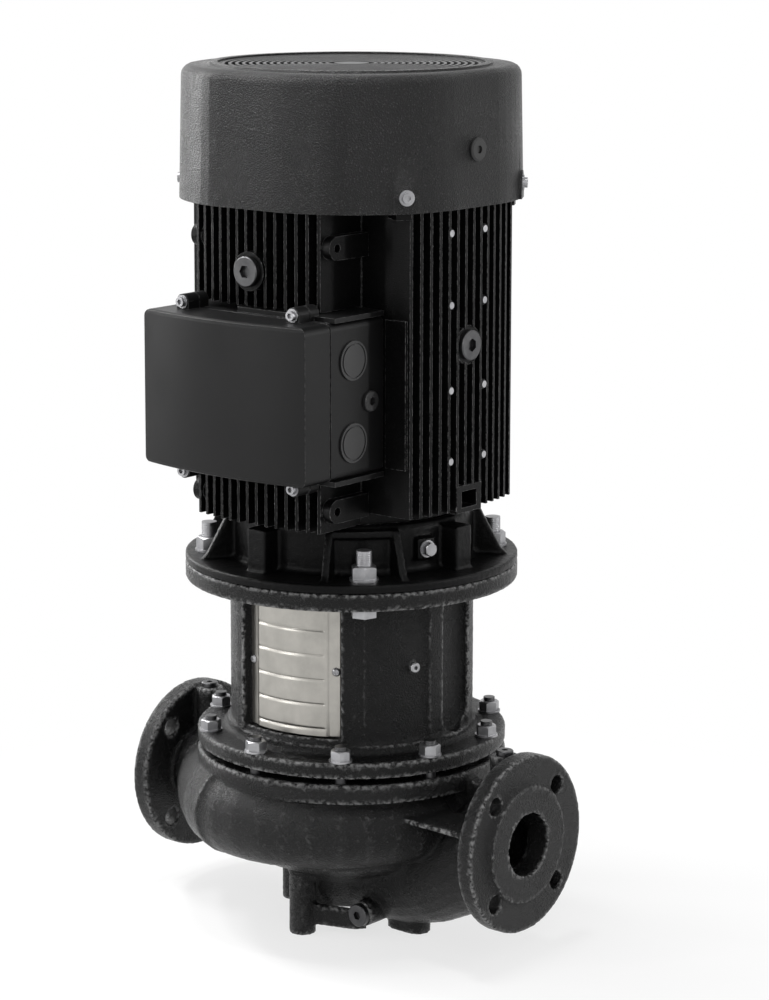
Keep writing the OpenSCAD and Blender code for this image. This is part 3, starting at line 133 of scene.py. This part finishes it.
# Guards of pressed sheet: heights and depths in mm, what lies along the bend in degrees
GUARD_T = 1.5
GUARD_STEP = 2.2
GUARD_LEFT = 6.5
GUARD_SLOPE = 2.2
GUARD_RIGHT = 5.4
GUARD_COLUMNS = 110
GUARD_ROWS = 170
GRID_HALF = 0.5
GROOVES = 5
GROOVE_LOW = 8
GROOVE_PITCH = 25.9
GROOVE_W = 2.6
GROOVE_DEPTH = 1.1
GROOVE_LEFT = 7.5
GROOVE_RIGHT = 7.3

# Threads, with sizes in mm: how far roots lie inside the bolt's skin and crests outside it
THREAD_ROOT = 0.2
THREAD_CREST = 0.25
STUDS = 10
STUD_R = 6
STUD_PITCH = 1.75
STUD_STEPS = 20
MOTOR_BOLTS = 4
MOTOR_BOLT_R = 8
MOTOR_BOLT_PITCH = 2
MOTOR_BOLT_STEPS = 28
MOTOR_CIRCLE_R = 150


def link(obj):
    """Puts an object into the scene."""
    bpy.context.scene.collection.objects.link(obj)
    return obj


def to_object(bm, name):
    """Turns a bmesh into an object in the scene."""
    mesh = bpy.data.meshes.new(name)
    bm.to_mesh(mesh)
    bm.free()
    return link(bpy.data.objects.new(name, mesh))


def round_the_axis(radius, degrees):
    """A place at a radius from the pump's axis and an angle from +X."""
    turn = math.radians(degrees)
    return radius * math.cos(turn), radius * math.sin(turn)


# Shader nodes

def add(tree, kind, **inputs):
    """A shader node of this kind, with its unlinked inputs set by name."""
    node = tree.nodes.new(kind)
    for name, value in inputs.items():
        node.inputs[name.replace("_", " ")].default_value = value
    return node


def join(tree, *pairs):
    """Links each (output, input) pair."""
    for out, into in pairs:
        tree.links.new(out, into)


def group(name, inputs, outputs):
    """A new shader group with named number, colour and vector sockets."""
    tree = bpy.data.node_groups.new(name, "ShaderNodeTree")
    for label, kind, value in inputs:
        socket = tree.interface.new_socket(label, in_out="INPUT", socket_type="NodeSocket" + kind)
        if value is not None:
            socket.default_value = value
    for label, kind in outputs:
        tree.interface.new_socket(label, in_out="OUTPUT", socket_type="NodeSocket" + kind)
    return tree, tree.nodes.new("NodeGroupInput"), tree.nodes.new("NodeGroupOutput")


def mathnode(tree, operation, a, b=None):
    """A math node whose inputs are sockets or plain numbers; gives its output socket."""
    node = tree.nodes.new("ShaderNodeMath")
    node.operation = operation
    for socket, value in zip(node.inputs, (a, b)):
        if value is None:
            continue
        if isinstance(value, bpy.types.NodeSocket):
            tree.links.new(value, socket)
        else:
            socket.default_value = value
    return node.outputs[0]


def spread(tree, value, low, high, to_low=0.0, to_high=1.0):
    """Maps a value from one range to another, clamped."""
    node = tree.nodes.new("ShaderNodeMapRange")
    for name, number in (("From Min", low), ("From Max", high), ("To Min", to_low), ("To Max", to_high)):
        node.inputs[name].default_value = number
    tree.links.new(value, node.inputs["Value"])
    return node.outputs["Result"]


def make_grain_group():
    """Skin of a sand casting or a powder coat: bumps of one size with finer ones between them."""
    tree, given, out = group(
        "coat_grain",
        [("Position", "Vector", None), ("Grain size", "Float", 0.001), ("Fine share", "Float", 0.35)],
        [("Height", "Float"), ("Peaks", "Float")],
    )
    scale = mathnode(tree, "DIVIDE", 1.0, given.outputs["Grain size"])
    coarse = add(tree, "ShaderNodeTexNoise", Detail=2.0, Roughness=0.55)
    fine = add(tree, "ShaderNodeTexNoise", Detail=1.0, Roughness=0.5)
    join(
        tree,
        (given.outputs["Position"], coarse.inputs["Vector"]),
        (scale, coarse.inputs["Scale"]),
        (given.outputs["Position"], fine.inputs["Vector"]),
        (mathnode(tree, "MULTIPLY", scale, FINE_PER_COARSE), fine.inputs["Scale"]),
    )
    bumps = spread(tree, coarse.outputs["Fac"], *NOISE_TO_BUMPS)
    mixed = mathnode(tree, "MULTIPLY", fine.outputs["Fac"], given.outputs["Fine share"])
    height = mathnode(tree, "ADD", bumps, mixed)
    peaks = spread(tree, coarse.outputs["Fac"], *NOISE_TO_PEAKS)
    join(tree, (height, out.inputs["Height"]), (peaks, out.inputs["Peaks"]))
    return tree


def make_edge_highlight_group():
    """Where a surface turns sharply outwards or inwards: a mask where edges are painted lighter as a
    highlight, and the rounded normal there.
    """
    tree, given, out = group(
        "painted_edge_highlight",
        [
            ("Position", "Vector", None),
            ("Radius", "Float", 0.0012),
            ("Amount", "Float", 0.6),
            ("Dense mesh", "Float", 0.0),
        ],
        [("Mask", "Float"), ("Normal", "Vector")],
    )
    bevel = tree.nodes.new("ShaderNodeBevel")
    bevel.samples = 4
    geometry = tree.nodes.new("ShaderNodeNewGeometry")
    dot = tree.nodes.new("ShaderNodeVectorMath")
    dot.operation = "DOT_PRODUCT"
    noise = add(tree, "ShaderNodeTexNoise", Scale=240.0, Detail=3.0)
    join(
        tree,
        (given.outputs["Radius"], bevel.inputs["Radius"]),
        (bevel.outputs["Normal"], dot.inputs[0]),
        (geometry.outputs["Normal"], dot.inputs[1]),
        (given.outputs["Position"], noise.inputs["Vector"]),
    )
    turned = spread(tree, dot.outputs["Value"], *NORMALS_TO_EDGE)
    # A dense mesh tells by itself where it stands out
    pointed = spread(tree, geometry.outputs["Pointiness"], *POINTED_TO_EDGE)
    told = mathnode(tree, "MULTIPLY", pointed, given.outputs["Dense mesh"])
    edge = mathnode(tree, "MAXIMUM", turned, told)
    broken = spread(tree, noise.outputs["Fac"], *NOISE_TO_BREAKS)
    # The painted edge highlight: edges, broken up by noise, scaled by the amount given
    mask = mathnode(tree, "MULTIPLY", mathnode(tree, "MULTIPLY", edge, broken), given.outputs["Amount"])
    join(tree, (mask, out.inputs["Mask"]), (bevel.outputs["Normal"], out.inputs["Normal"]))
    return tree


def make_cloud_group():
    """Slow change over a surface: handling, thin dust and uneven coats."""
    tree, given, out = group(
        "slow_change",
        [("Position", "Vector", None), ("Size", "Float", 0.05)],
        [("Fac", "Float")],
    )
    noise = add(tree, "ShaderNodeTexNoise", Detail=4.0, Roughness=0.6)
    join(
        tree,
        (given.outputs["Position"], noise.inputs["Vector"]),
        (mathnode(tree, "DIVIDE", 1.0, given.outputs["Size"]), noise.inputs["Scale"]),
    )
    join(tree, (spread(tree, noise.outputs["Fac"], *NOISE_TO_CLOUDS), out.inputs["Fac"]))
    return tree


GRAIN = make_grain_group()
EDGE_HIGHLIGHT = make_edge_highlight_group()
CLOUD = make_cloud_group()


def use(tree, source, position, **inputs):
    """Places a group in a material with its own values."""
    node = tree.nodes.new("ShaderNodeGroup")
    node.node_tree = source
    tree.links.new(position, node.inputs["Position"])
    for name, value in inputs.items():
        node.inputs[name.replace("_", " ")].default_value = value
    return node


def blend_colours(tree, factor, first, second):
    """A colour that goes from the first to the second as the factor goes from 0 to 1."""
    node = tree.nodes.new("ShaderNodeMix")
    node.data_type = "RGBA"
    # A mix node repeats its socket names once for each data type
    colour_sockets = [s for s in node.inputs if s.type == "RGBA"]
    for socket, value in zip(colour_sockets, (first, second)):
        if isinstance(value, bpy.types.NodeSocket):
            tree.links.new(value, socket)
        else:
            socket.default_value = (*value, 1.0)
    tree.links.new(factor, node.inputs["Factor"])
    return [s for s in node.outputs if s.type == "RGBA"][0]


def new_material(name):
    """A node material with its Principled shader and object coordinates."""
    material = bpy.data.materials.new(name)
    material.use_nodes = True
    tree = material.node_tree
    shader = tree.nodes["Principled BSDF"]
    place = tree.nodes.new("ShaderNodeTexCoord").outputs["Object"]
    return material, tree, shader, place


def coated(name, colour, light, roughness, specular, grain, depth, edge, glint_share, edge_radius=1.2,
           fine=0.35, dense=0.0):
    """Black coat on metal: grain, slow change in gloss, and painted highlight and glints, where edges and
    grain peaks are painted lighter. Sizes in mm.
    dense is 1 on a mesh whose corners are close enough to show by themselves where it stands out."""
    material, tree, shader, place = new_material(name)
    skin = use(tree, GRAIN, place, Grain_size=grain * MM, Fine_share=fine)
    edge_highlight = use(tree, EDGE_HIGHLIGHT, place, Radius=edge_radius * MM, Amount=edge, Dense_mesh=dense)
    cloud = use(tree, CLOUD, place, Size=0.06)
    bump = add(tree, "ShaderNodeBump", Strength=1.0, Distance=depth * MM)
    join(
        tree,
        (skin.outputs["Height"], bump.inputs["Height"]),
        (edge_highlight.outputs["Normal"], bump.inputs["Normal"]),
        (bump.outputs["Normal"], shader.inputs["Normal"]),
    )
    # Painted highlight and glints: edges and grain peaks take the lighter colour, as though they caught
    # the lamps
    painted_highlights = mathnode(
        tree, "ADD", edge_highlight.outputs["Mask"], mathnode(tree, "MULTIPLY", skin.outputs["Peaks"], glint_share)
    )
    base = blend_colours(tree, painted_highlights, colour, light)
    join(tree, (base, shader.inputs["Base Color"]))
    gloss = spread(tree, cloud.outputs["Fac"], 0.0, 1.0, roughness - 0.05, roughness + 0.06)
    join(tree, (gloss, shader.inputs["Roughness"]))
    shader.inputs["Specular IOR Level"].default_value = specular
    return material


def bare_metal(name, colour, shade, roughness, streak, along=(1, 1, 1), depth=0.02):
    """Plated, turned or brushed metal. along gives how the fine lines are stretched on each axis."""
    material, tree, shader, place = new_material(name)
    mapping = tree.nodes.new("ShaderNodeMapping")
    mapping.inputs["Scale"].default_value = along
    lines = add(tree, "ShaderNodeTexNoise", Scale=streak, Detail=3.0, Roughness=0.6)
    cloud = use(tree, CLOUD, place, Size=0.02)
    edge_highlight = use(tree, EDGE_HIGHLIGHT, place, Radius=0.4 * MM, Amount=0.4)
    bump = add(tree, "ShaderNodeBump", Strength=0.6, Distance=depth * MM)
    join(
        tree,
        (place, mapping.inputs["Vector"]),
        (mapping.outputs["Vector"], lines.inputs["Vector"]),
        (lines.outputs["Fac"], bump.inputs["Height"]),
        (edge_highlight.outputs["Normal"], bump.inputs["Normal"]),
        (bump.outputs["Normal"], shader.inputs["Normal"]),
    )
    base = blend_colours(tree, cloud.outputs["Fac"], shade, colour)
    join(tree, (base, shader.inputs["Base Color"]))
    rough = spread(tree, lines.outputs["Fac"], *NOISE_TO_LINES, roughness - 0.06, roughness + 0.08)
    join(tree, (rough, shader.inputs["Roughness"]))
    shader.inputs["Metallic"].default_value = 1.0
    return material


def moulded(name, colour, light, roughness):
    """Moulded plastic, rubber or ceramic, with a faint skin."""
    material, tree, shader, place = new_material(name)
    skin = use(tree, GRAIN, place, Grain_size=0.4 * MM, Fine_share=0.3)
    cloud = use(tree, CLOUD, place, Size=0.03)
    bump = add(tree, "ShaderNodeBump", Strength=1.0, Distance=0.02 * MM)
    gloss = spread(tree, cloud.outputs["Fac"], 0.0, 1.0, roughness - 0.05, roughness + 0.08)
    join(
        tree,
        (skin.outputs["Height"], bump.inputs["Height"]),
        (bump.outputs["Normal"], shader.inputs["Normal"]),
        (blend_colours(tree, cloud.outputs["Fac"], colour, light), shader.inputs["Base Color"]),
        (gloss, shader.inputs["Roughness"]),
    )
    shader.inputs["Specular IOR Level"].default_value = 0.4
    return material


# Coats: colour, lighter colour painted on edges and grain peaks as highlight and glints, gloss, grain and
# depth in mm, and how much edges and peaks are painted lighter
COATS = {
    "housing_iron": dict(
        colour=(0.0035, 0.0035, 0.0036), light=(0.3, 0.3, 0.3), roughness=0.26, specular=0.22,
        grain=1.7, depth=0.9, edge=0.7, glint_share=0.1, dense=1.0,
    ),
    "stool_iron": dict(
        colour=(0.003, 0.003, 0.0031), light=(0.3, 0.3, 0.3), roughness=0.28, specular=0.18,
        grain=1.7, depth=0.8, edge=0.8, glint_share=0.07, dense=1.0,
    ),
    "motor_paint": dict(
        colour=(0.0018, 0.0018, 0.0019), light=(0.4, 0.4, 0.4), roughness=0.32, specular=0.1,
        grain=1.3, depth=0.16, edge=1.0, glint_share=0.03, edge_radius=0.6,
    ),
    "cover_paint": dict(
        colour=(0.007, 0.007, 0.0072), light=(0.4, 0.4, 0.4), roughness=0.3, specular=0.2,
        grain=1.6, depth=0.9, edge=0.25, glint_share=0.16, fine=0.7,
    ),
    "box_paint": dict(
        colour=(0.0045, 0.0045, 0.0047), light=(0.3, 0.3, 0.3), roughness=0.38, specular=0.17,
        grain=0.9, depth=0.03, edge=0.6, glint_share=0.01, edge_radius=0.8,
    ),
}

# Metals: bright and dull colour, roughness, fineness of the lines, their stretch and their depth in mm
METALS = {
    "guard_steel": dict(
        colour=(0.42, 0.405, 0.375), shade=(0.34, 0.33, 0.305), roughness=0.34, streak=60,
        along=(12, 12, 0.4), depth=0.01,
    ),
    "stainless": dict(colour=(0.6, 0.59, 0.57), shade=(0.5, 0.49, 0.47), roughness=0.26, streak=900),
    "zinc_steel": dict(
        colour=(0.4, 0.4, 0.41), shade=(0.24, 0.24, 0.25), roughness=0.38, streak=700, depth=0.06,
    ),
    "machined_steel": dict(
        colour=(0.45, 0.45, 0.46), shade=(0.36, 0.36, 0.37), roughness=0.34, streak=500, along=(1, 1, 6),
    ),
    "dark_steel": dict(
        colour=(0.10, 0.10, 0.102), shade=(0.05, 0.05, 0.052), roughness=0.36, streak=700, depth=0.05,
    ),
    "copper": dict(
        colour=(0.62, 0.27, 0.12), shade=(0.45, 0.18, 0.08), roughness=0.35, streak=260,
        along=(1, 1, 8), depth=0.2,
    ),
    "brass": dict(colour=(0.6, 0.46, 0.2), shade=(0.45, 0.34, 0.14), roughness=0.3, streak=700),
}

# Mouldings: darker and lighter colour, and roughness
MOULDINGS = {
    "rubber": dict(colour=(0.012, 0.012, 0.012), light=(0.02, 0.02, 0.02), roughness=0.6),
    "carbon": dict(colour=(0.03, 0.03, 0.032), light=(0.045, 0.045, 0.048), roughness=0.4),
    "ceramic": dict(colour=(0.7, 0.67, 0.6), light=(0.78, 0.75, 0.69), roughness=0.3),
    "black_plastic": dict(colour=(0.014, 0.014, 0.0145), light=(0.022, 0.022, 0.0225), roughness=0.38),
    "brown_plastic": dict(colour=(0.11, 0.055, 0.028), light=(0.13, 0.065, 0.034), roughness=0.42),
}

FINISHES = {
    name: make(name, **values)
    for make, table in ((coated, COATS), (bare_metal, METALS), (moulded, MOULDINGS))
    for name, values in table.items()
}

SLOT_OF = {part["node"]: part["material_slot"] for part in frame["record"]["subparts"]}


def dress(obj, slot):
    """Gives a piece the finish of a material slot."""
    obj.data.materials.clear()
    obj.data.materials.append(FINISHES[slot])


for node_name, node_obj in frame["nodes"].items():
    for holder in node_obj.material_slots:
        holder.material = FINISHES[SLOT_OF[node_name]]


# Camera

def make_camera():
    """The camera fitted to the photograph, where the pump's axis is left of the frame's middle."""
    data = bpy.data.cameras.new("camera")
    data.sensor_width = SENSOR_MM
    data.lens = FOCAL_PX * SENSOR_MM / FRAME_H
    data.shift_x = (FRAME_W / 2 - AXIS_PX) / FRAME_H
    data.shift_y = CAMERA_SHIFT
    data.clip_end = CAMERA_CLIP
    cam = link(bpy.data.objects.new("camera", data))
    turn = math.radians(CAMERA_TURN)
    cam.location = (CAMERA_FAR * math.sin(turn), -CAMERA_FAR * math.cos(turn), CAMERA_HIGH)
    cam.rotation_euler = (math.radians(90 - CAMERA_PITCH), 0, turn)
    bpy.context.scene.camera = cam


# Studio

def seen_directly(tree):
    """1 for rays from the camera, from a mirror and through glass, which all see the plain white paper."""
    path = tree.nodes.new("ShaderNodeLightPath")
    seen = mathnode(tree, "MAXIMUM", path.outputs["Is Camera Ray"], path.outputs["Is Transmission Ray"])
    return mathnode(tree, "MAXIMUM", seen, path.outputs["Is Glossy Ray"])


def make_floor():
    """White paper that shows the pump's shadow near its feet and fades to plain white away from it."""
    bm = bmesh.new()
    bmesh.ops.create_circle(bm, cap_ends=True, segments=96, radius=PAPER_RADIUS)
    floor = to_object(bm, "floor")
    floor.location.z = cad_low.z - PAPER_DROP
    material, tree, shader, place = new_material("floor_paper")
    shader.inputs["Base Color"].default_value = (PAPER_COLOUR, PAPER_COLOUR, PAPER_COLOUR, 1)
    shader.inputs["Roughness"].default_value = 0.9
    shader.inputs["Specular IOR Level"].default_value = 0.1
    away = tree.nodes.new("ShaderNodeVectorMath")
    away.operation = "LENGTH"
    white = add(tree, "ShaderNodeEmission", Color=(1, 1, 1, 1), Strength=1.0)
    mix = tree.nodes.new("ShaderNodeMixShader")
    join(tree, (place, away.inputs[0]))
    fade = spread(tree, away.outputs["Value"], SHADOW_FROM, SHADOW_TO, NEAR_WHITE)
    join(
        tree,
        (mathnode(tree, "MULTIPLY", fade, seen_directly(tree)), mix.inputs["Fac"]),
        (shader.outputs["BSDF"], mix.inputs[1]),
        (white.outputs["Emission"], mix.inputs[2]),
        (mix.outputs["Shader"], tree.nodes["Material Output"].inputs["Surface"]),
    )
    floor.data.materials.append(material)


def softbox(name, azimuth, elevation, far, wide, high, radiance):
    """A rectangular lamp at a direction from the pump: azimuth 0 is in front of the terminal box.
    radiance is how bright the lamp's face looks, where plain white paper is 1."""
    data = bpy.data.lights.new(name, "AREA")
    data.shape = "RECTANGLE"
    data.size = wide
    data.size_y = high
    data.energy = math.pi * wide * high * radiance
    lamp = link(bpy.data.objects.new(name, data))
    turn = math.radians(azimuth)
    lift = math.radians(elevation)
    away = Vector((math.sin(turn) * math.cos(lift), -math.cos(turn) * math.cos(lift), math.sin(lift)))
    lamp.location = LIGHT_AIM + away * far
    lamp.rotation_euler = away.to_track_quat("Z", "Y").to_euler()


def make_light():
    """A dim white sky, plain white where it is seen, and the lamps."""
    world = bpy.data.worlds.new("studio")
    bpy.context.scene.world = world
    world.use_nodes = True
    tree = world.node_tree
    sky = tree.nodes["Background"]
    sky.inputs["Color"].default_value = (1, 1, 1, 1)
    join(tree, (spread(tree, seen_directly(tree), 0.0, 1.0, SKY_STRENGTH, 1.0), sky.inputs["Strength"]))
    for name, values in LAMPS.items():
        softbox(name, *values)


make_camera()
make_floor()
make_light()


# Cast pieces: the CAD form with the rounded edges and inner corners that a sand mould gives

SAND_SKIN = bpy.data.textures.new("sand_skin", "CLOUDS")
SAND_SKIN.noise_scale = SAND_GRAIN
SAND_SKIN.noise_depth = 2


def merged_copy(node, name):
    """A copy of a CAD node whose loose triangles are joined at their corners."""
    bm = bmesh.new()
    bm.from_mesh(frame["nodes"][node].data)
    bmesh.ops.remove_doubles(bm, verts=bm.verts, dist=SAME_CORNER * MM)
    return to_object(bm, name)


def bake(obj):
    """Puts what an object's modifiers make into its mesh."""
    bpy.context.view_layer.update()
    graph = bpy.context.evaluated_depsgraph_get()
    done = bpy.data.meshes.new_from_object(obj.evaluated_get(graph))
    obj.modifiers.clear()
    obj.data = done
    return done


def settle(obj, node, sharp=180):
    """Lets a piece, with its modifiers baked, stand for a CAD node on the pump with that node's finish.
    Edges that turn by more degrees than sharp stay hard."""
    done = bake(obj)
    done.shade_smooth()
    done.set_sharp_from_angle(angle=math.radians(sharp))
    dress(obj, SLOT_OF[node])
    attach(obj, "pump")
    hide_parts(node)
    triangles = sum(len(polygon.vertices) - 2 for polygon in done.polygons)
    print(obj.name, triangles, "triangles")


def cast_copy(node, name, voxel, keep, creases=None):
    """A copy of a CAD node as one skin of even squares, voxel mm wide, whose edges are rounded off.
    keep is the share of its triangles that stays. creases gives, for a point, how much the skin there
    is filled out like the inner corner of a mould."""
    obj = merged_copy(node, name)
    skin = obj.modifiers.new("skin", "REMESH")
    skin.mode = "VOXEL"
    skin.voxel_size = voxel * MM
    done = bake(obj)
    soften = obj.modifiers.new("soften", "SMOOTH")
    soften.factor = SOFTENING
    soften.iterations = SOFT_ROUNDS
    if creases:
        weights = obj.vertex_groups.new(name="creases")
        for vertex in done.vertices:
            share = creases(vertex.co)
            if share > 0:
                weights.add([vertex.index], share, "REPLACE")
        fill = obj.modifiers.new("fill", "SMOOTH")
        fill.factor = SOFTENING
        fill.iterations = CREASE_ROUNDS
        fill.vertex_group = "creases"
    lumps = obj.modifiers.new("lumps", "DISPLACE")
    lumps.texture = SAND_SKIN
    lumps.texture_coords = "LOCAL"
    lumps.strength = SAND_DEPTH
    thin = obj.modifiers.new("thin", "DECIMATE")
    thin.ratio = keep
    settle(obj, node)


def passage_creases(point):
    """Where the spiral, the elbow and the neck meet: 1 below the rim and between the flanges, else 0,
    with a slope between."""
    if abs(point.x) > CREASE_REACH or not CREASE_LOW < point.z < CREASE_HIGH:
        return 0.0
    rise = min(1.0, (point.z - CREASE_LOW) / CREASE_RISE, (CREASE_HIGH - point.z) / CREASE_RISE)
    return rise * min(1.0, (CREASE_REACH - abs(point.x)) / CREASE_END)


cast_copy("pump_housing", "housing_casting", voxel=1.9, keep=0.42, creases=passage_creases)
cast_copy("motor_stool", "stool_casting", voxel=1.9, keep=0.5)
cast_copy("drive_end_bracket", "bracket_casting", voxel=1.6, keep=0.7)
settle(merged_copy("fan_cover", "fan_cover_shell"), "fan_cover", sharp=COVER_SHARP)


# Guards: pressed stainless sheet with a raised middle and five grooves in it

def smooth_step(value):
    """Goes softly from 0 to 1 as the value does."""
    value = min(1.0, max(0.0, value))
    return value * value * (3 - 2 * value)


def guard_rise(across, width):
    """How far the sheet stands out, in mm, at an angle from its left edge, in degrees."""
    left = smooth_step((across - GUARD_LEFT) / GUARD_SLOPE)
    right = smooth_step((width - GUARD_RIGHT - across) / GUARD_SLOPE)
    return GUARD_STEP * min(left, right)


def groove_depth(across, width, up):
    """Depth of the pressed grooves, in mm, at an angle and a height above the sheet's foot."""
    inside = smooth_step(across - GROOVE_LEFT) * smooth_step(width - GROOVE_RIGHT - across)
    nearest = min(abs(up - GROOVE_LOW - i * GROOVE_PITCH) for i in range(GROOVES))
    return GROOVE_DEPTH * inside * smooth_step(1 - nearest / GROOVE_W)


def make_guard(node, name):
    """Bends a flat grid round the pump's axis, between the angles and heights of the CAD guard."""
    low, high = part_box(node)
    points = [v.co for v in frame["nodes"][node].data.vertices]
    centre = sum(points, Vector()) / len(points)
    middle = math.atan2(centre.y, centre.x)
    half = math.degrees(max(math.remainder(math.atan2(p.y, p.x) - middle, math.tau) for p in points))
    inner = min(math.hypot(p.x, p.y) for p in points) / MM
    bm = bmesh.new()
    bmesh.ops.create_grid(bm, x_segments=GUARD_COLUMNS, y_segments=GUARD_ROWS, size=GRID_HALF)
    for vertex in bm.verts:
        across = (vertex.co.x + GRID_HALF) * 2 * half
        height = (high.z - low.z) * (vertex.co.y + GRID_HALF)
        out = guard_rise(across, 2 * half) - groove_depth(across, 2 * half, height / MM)
        x, y = round_the_axis((inner + out) * MM, math.degrees(middle) + across - half)
        vertex.co = (x, y, low.z + height)
    bmesh.ops.recalc_face_normals(bm, faces=bm.faces)
    obj = to_object(bm, name)
    outwards = Vector((math.cos(middle), math.sin(middle), 0))
    wall = obj.modifiers.new("wall", "SOLIDIFY")
    wall.thickness = GUARD_T * MM
    wall.offset = 1 if sum(face.normal.dot(outwards) for face in obj.data.polygons) > 0 else -1
    settle(obj, node)


make_guard("guard_front", "guard_front_sheet")
make_guard("guard_rear", "guard_rear_sheet")


# Threads on the bolt ends that stand out of their nuts

def thread_profile(radius, low, high, pitch):
    """Points of a zigzag from the bolt's skin, in a plane through its axis."""
    root = radius - THREAD_ROOT * MM
    crest = radius + THREAD_CREST * MM
    points = [Vector((root, 0, low))]
    for turn in range(int((high - low) / pitch)):
        points.append(Vector((crest, 0, low + (turn + 0.5) * pitch)))
        points.append(Vector((root, 0, low + (turn + 1) * pitch)))
    return points


def make_threads(name, bolts, nuts, count, first, circle, radius, pitch, steps):
    """Closed threaded ends from the nuts' tops to the bolts' tips, on a circle round the pump's axis.
    first is the angle of the first one, in degrees."""
    profile = thread_profile(radius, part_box(nuts)[1].z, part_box(bolts)[1].z, pitch)
    bm = bmesh.new()
    for i in range(count):
        x, y = round_the_axis(circle, first + 360 * i / count)
        verts = [bm.verts.new(point + Vector((x, y, 0))) for point in profile]
        edges = [bm.edges.new(pair) for pair in zip(verts, verts[1:])]
        bmesh.ops.spin(
            bm, geom=verts + edges, cent=(x, y, 0), axis=(0, 0, 1), angle=math.tau, steps=steps,
            use_merge=True,
        )
    bmesh.ops.remove_doubles(bm, verts=bm.verts, dist=SAME_THREAD_CORNER * MM)
    bmesh.ops.holes_fill(bm, edges=[edge for edge in bm.edges if edge.is_boundary])
    bmesh.ops.recalc_face_normals(bm, faces=bm.faces)
    obj = to_object(bm, name)
    dress(obj, SLOT_OF[bolts])
    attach(obj, "pump")


studs_low, studs_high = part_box("head_studs")
stud_circle_r = (studs_high.y - studs_low.y) / 2 - STUD_R * MM
make_threads(
    "stud_threads", "head_studs", "head_nuts", count=STUDS, first=-90, circle=stud_circle_r,
    radius=STUD_R * MM, pitch=STUD_PITCH * MM, steps=STUD_STEPS,
)
make_threads(
    "motor_bolt_threads", "motor_bolts", "motor_nuts", count=MOTOR_BOLTS, first=45,
    circle=MOTOR_CIRCLE_R * MM, radius=MOTOR_BOLT_R * MM, pitch=MOTOR_BOLT_PITCH * MM,
    steps=MOTOR_BOLT_STEPS,
)


bpy.context.scene.view_settings.view_transform = "Standard"
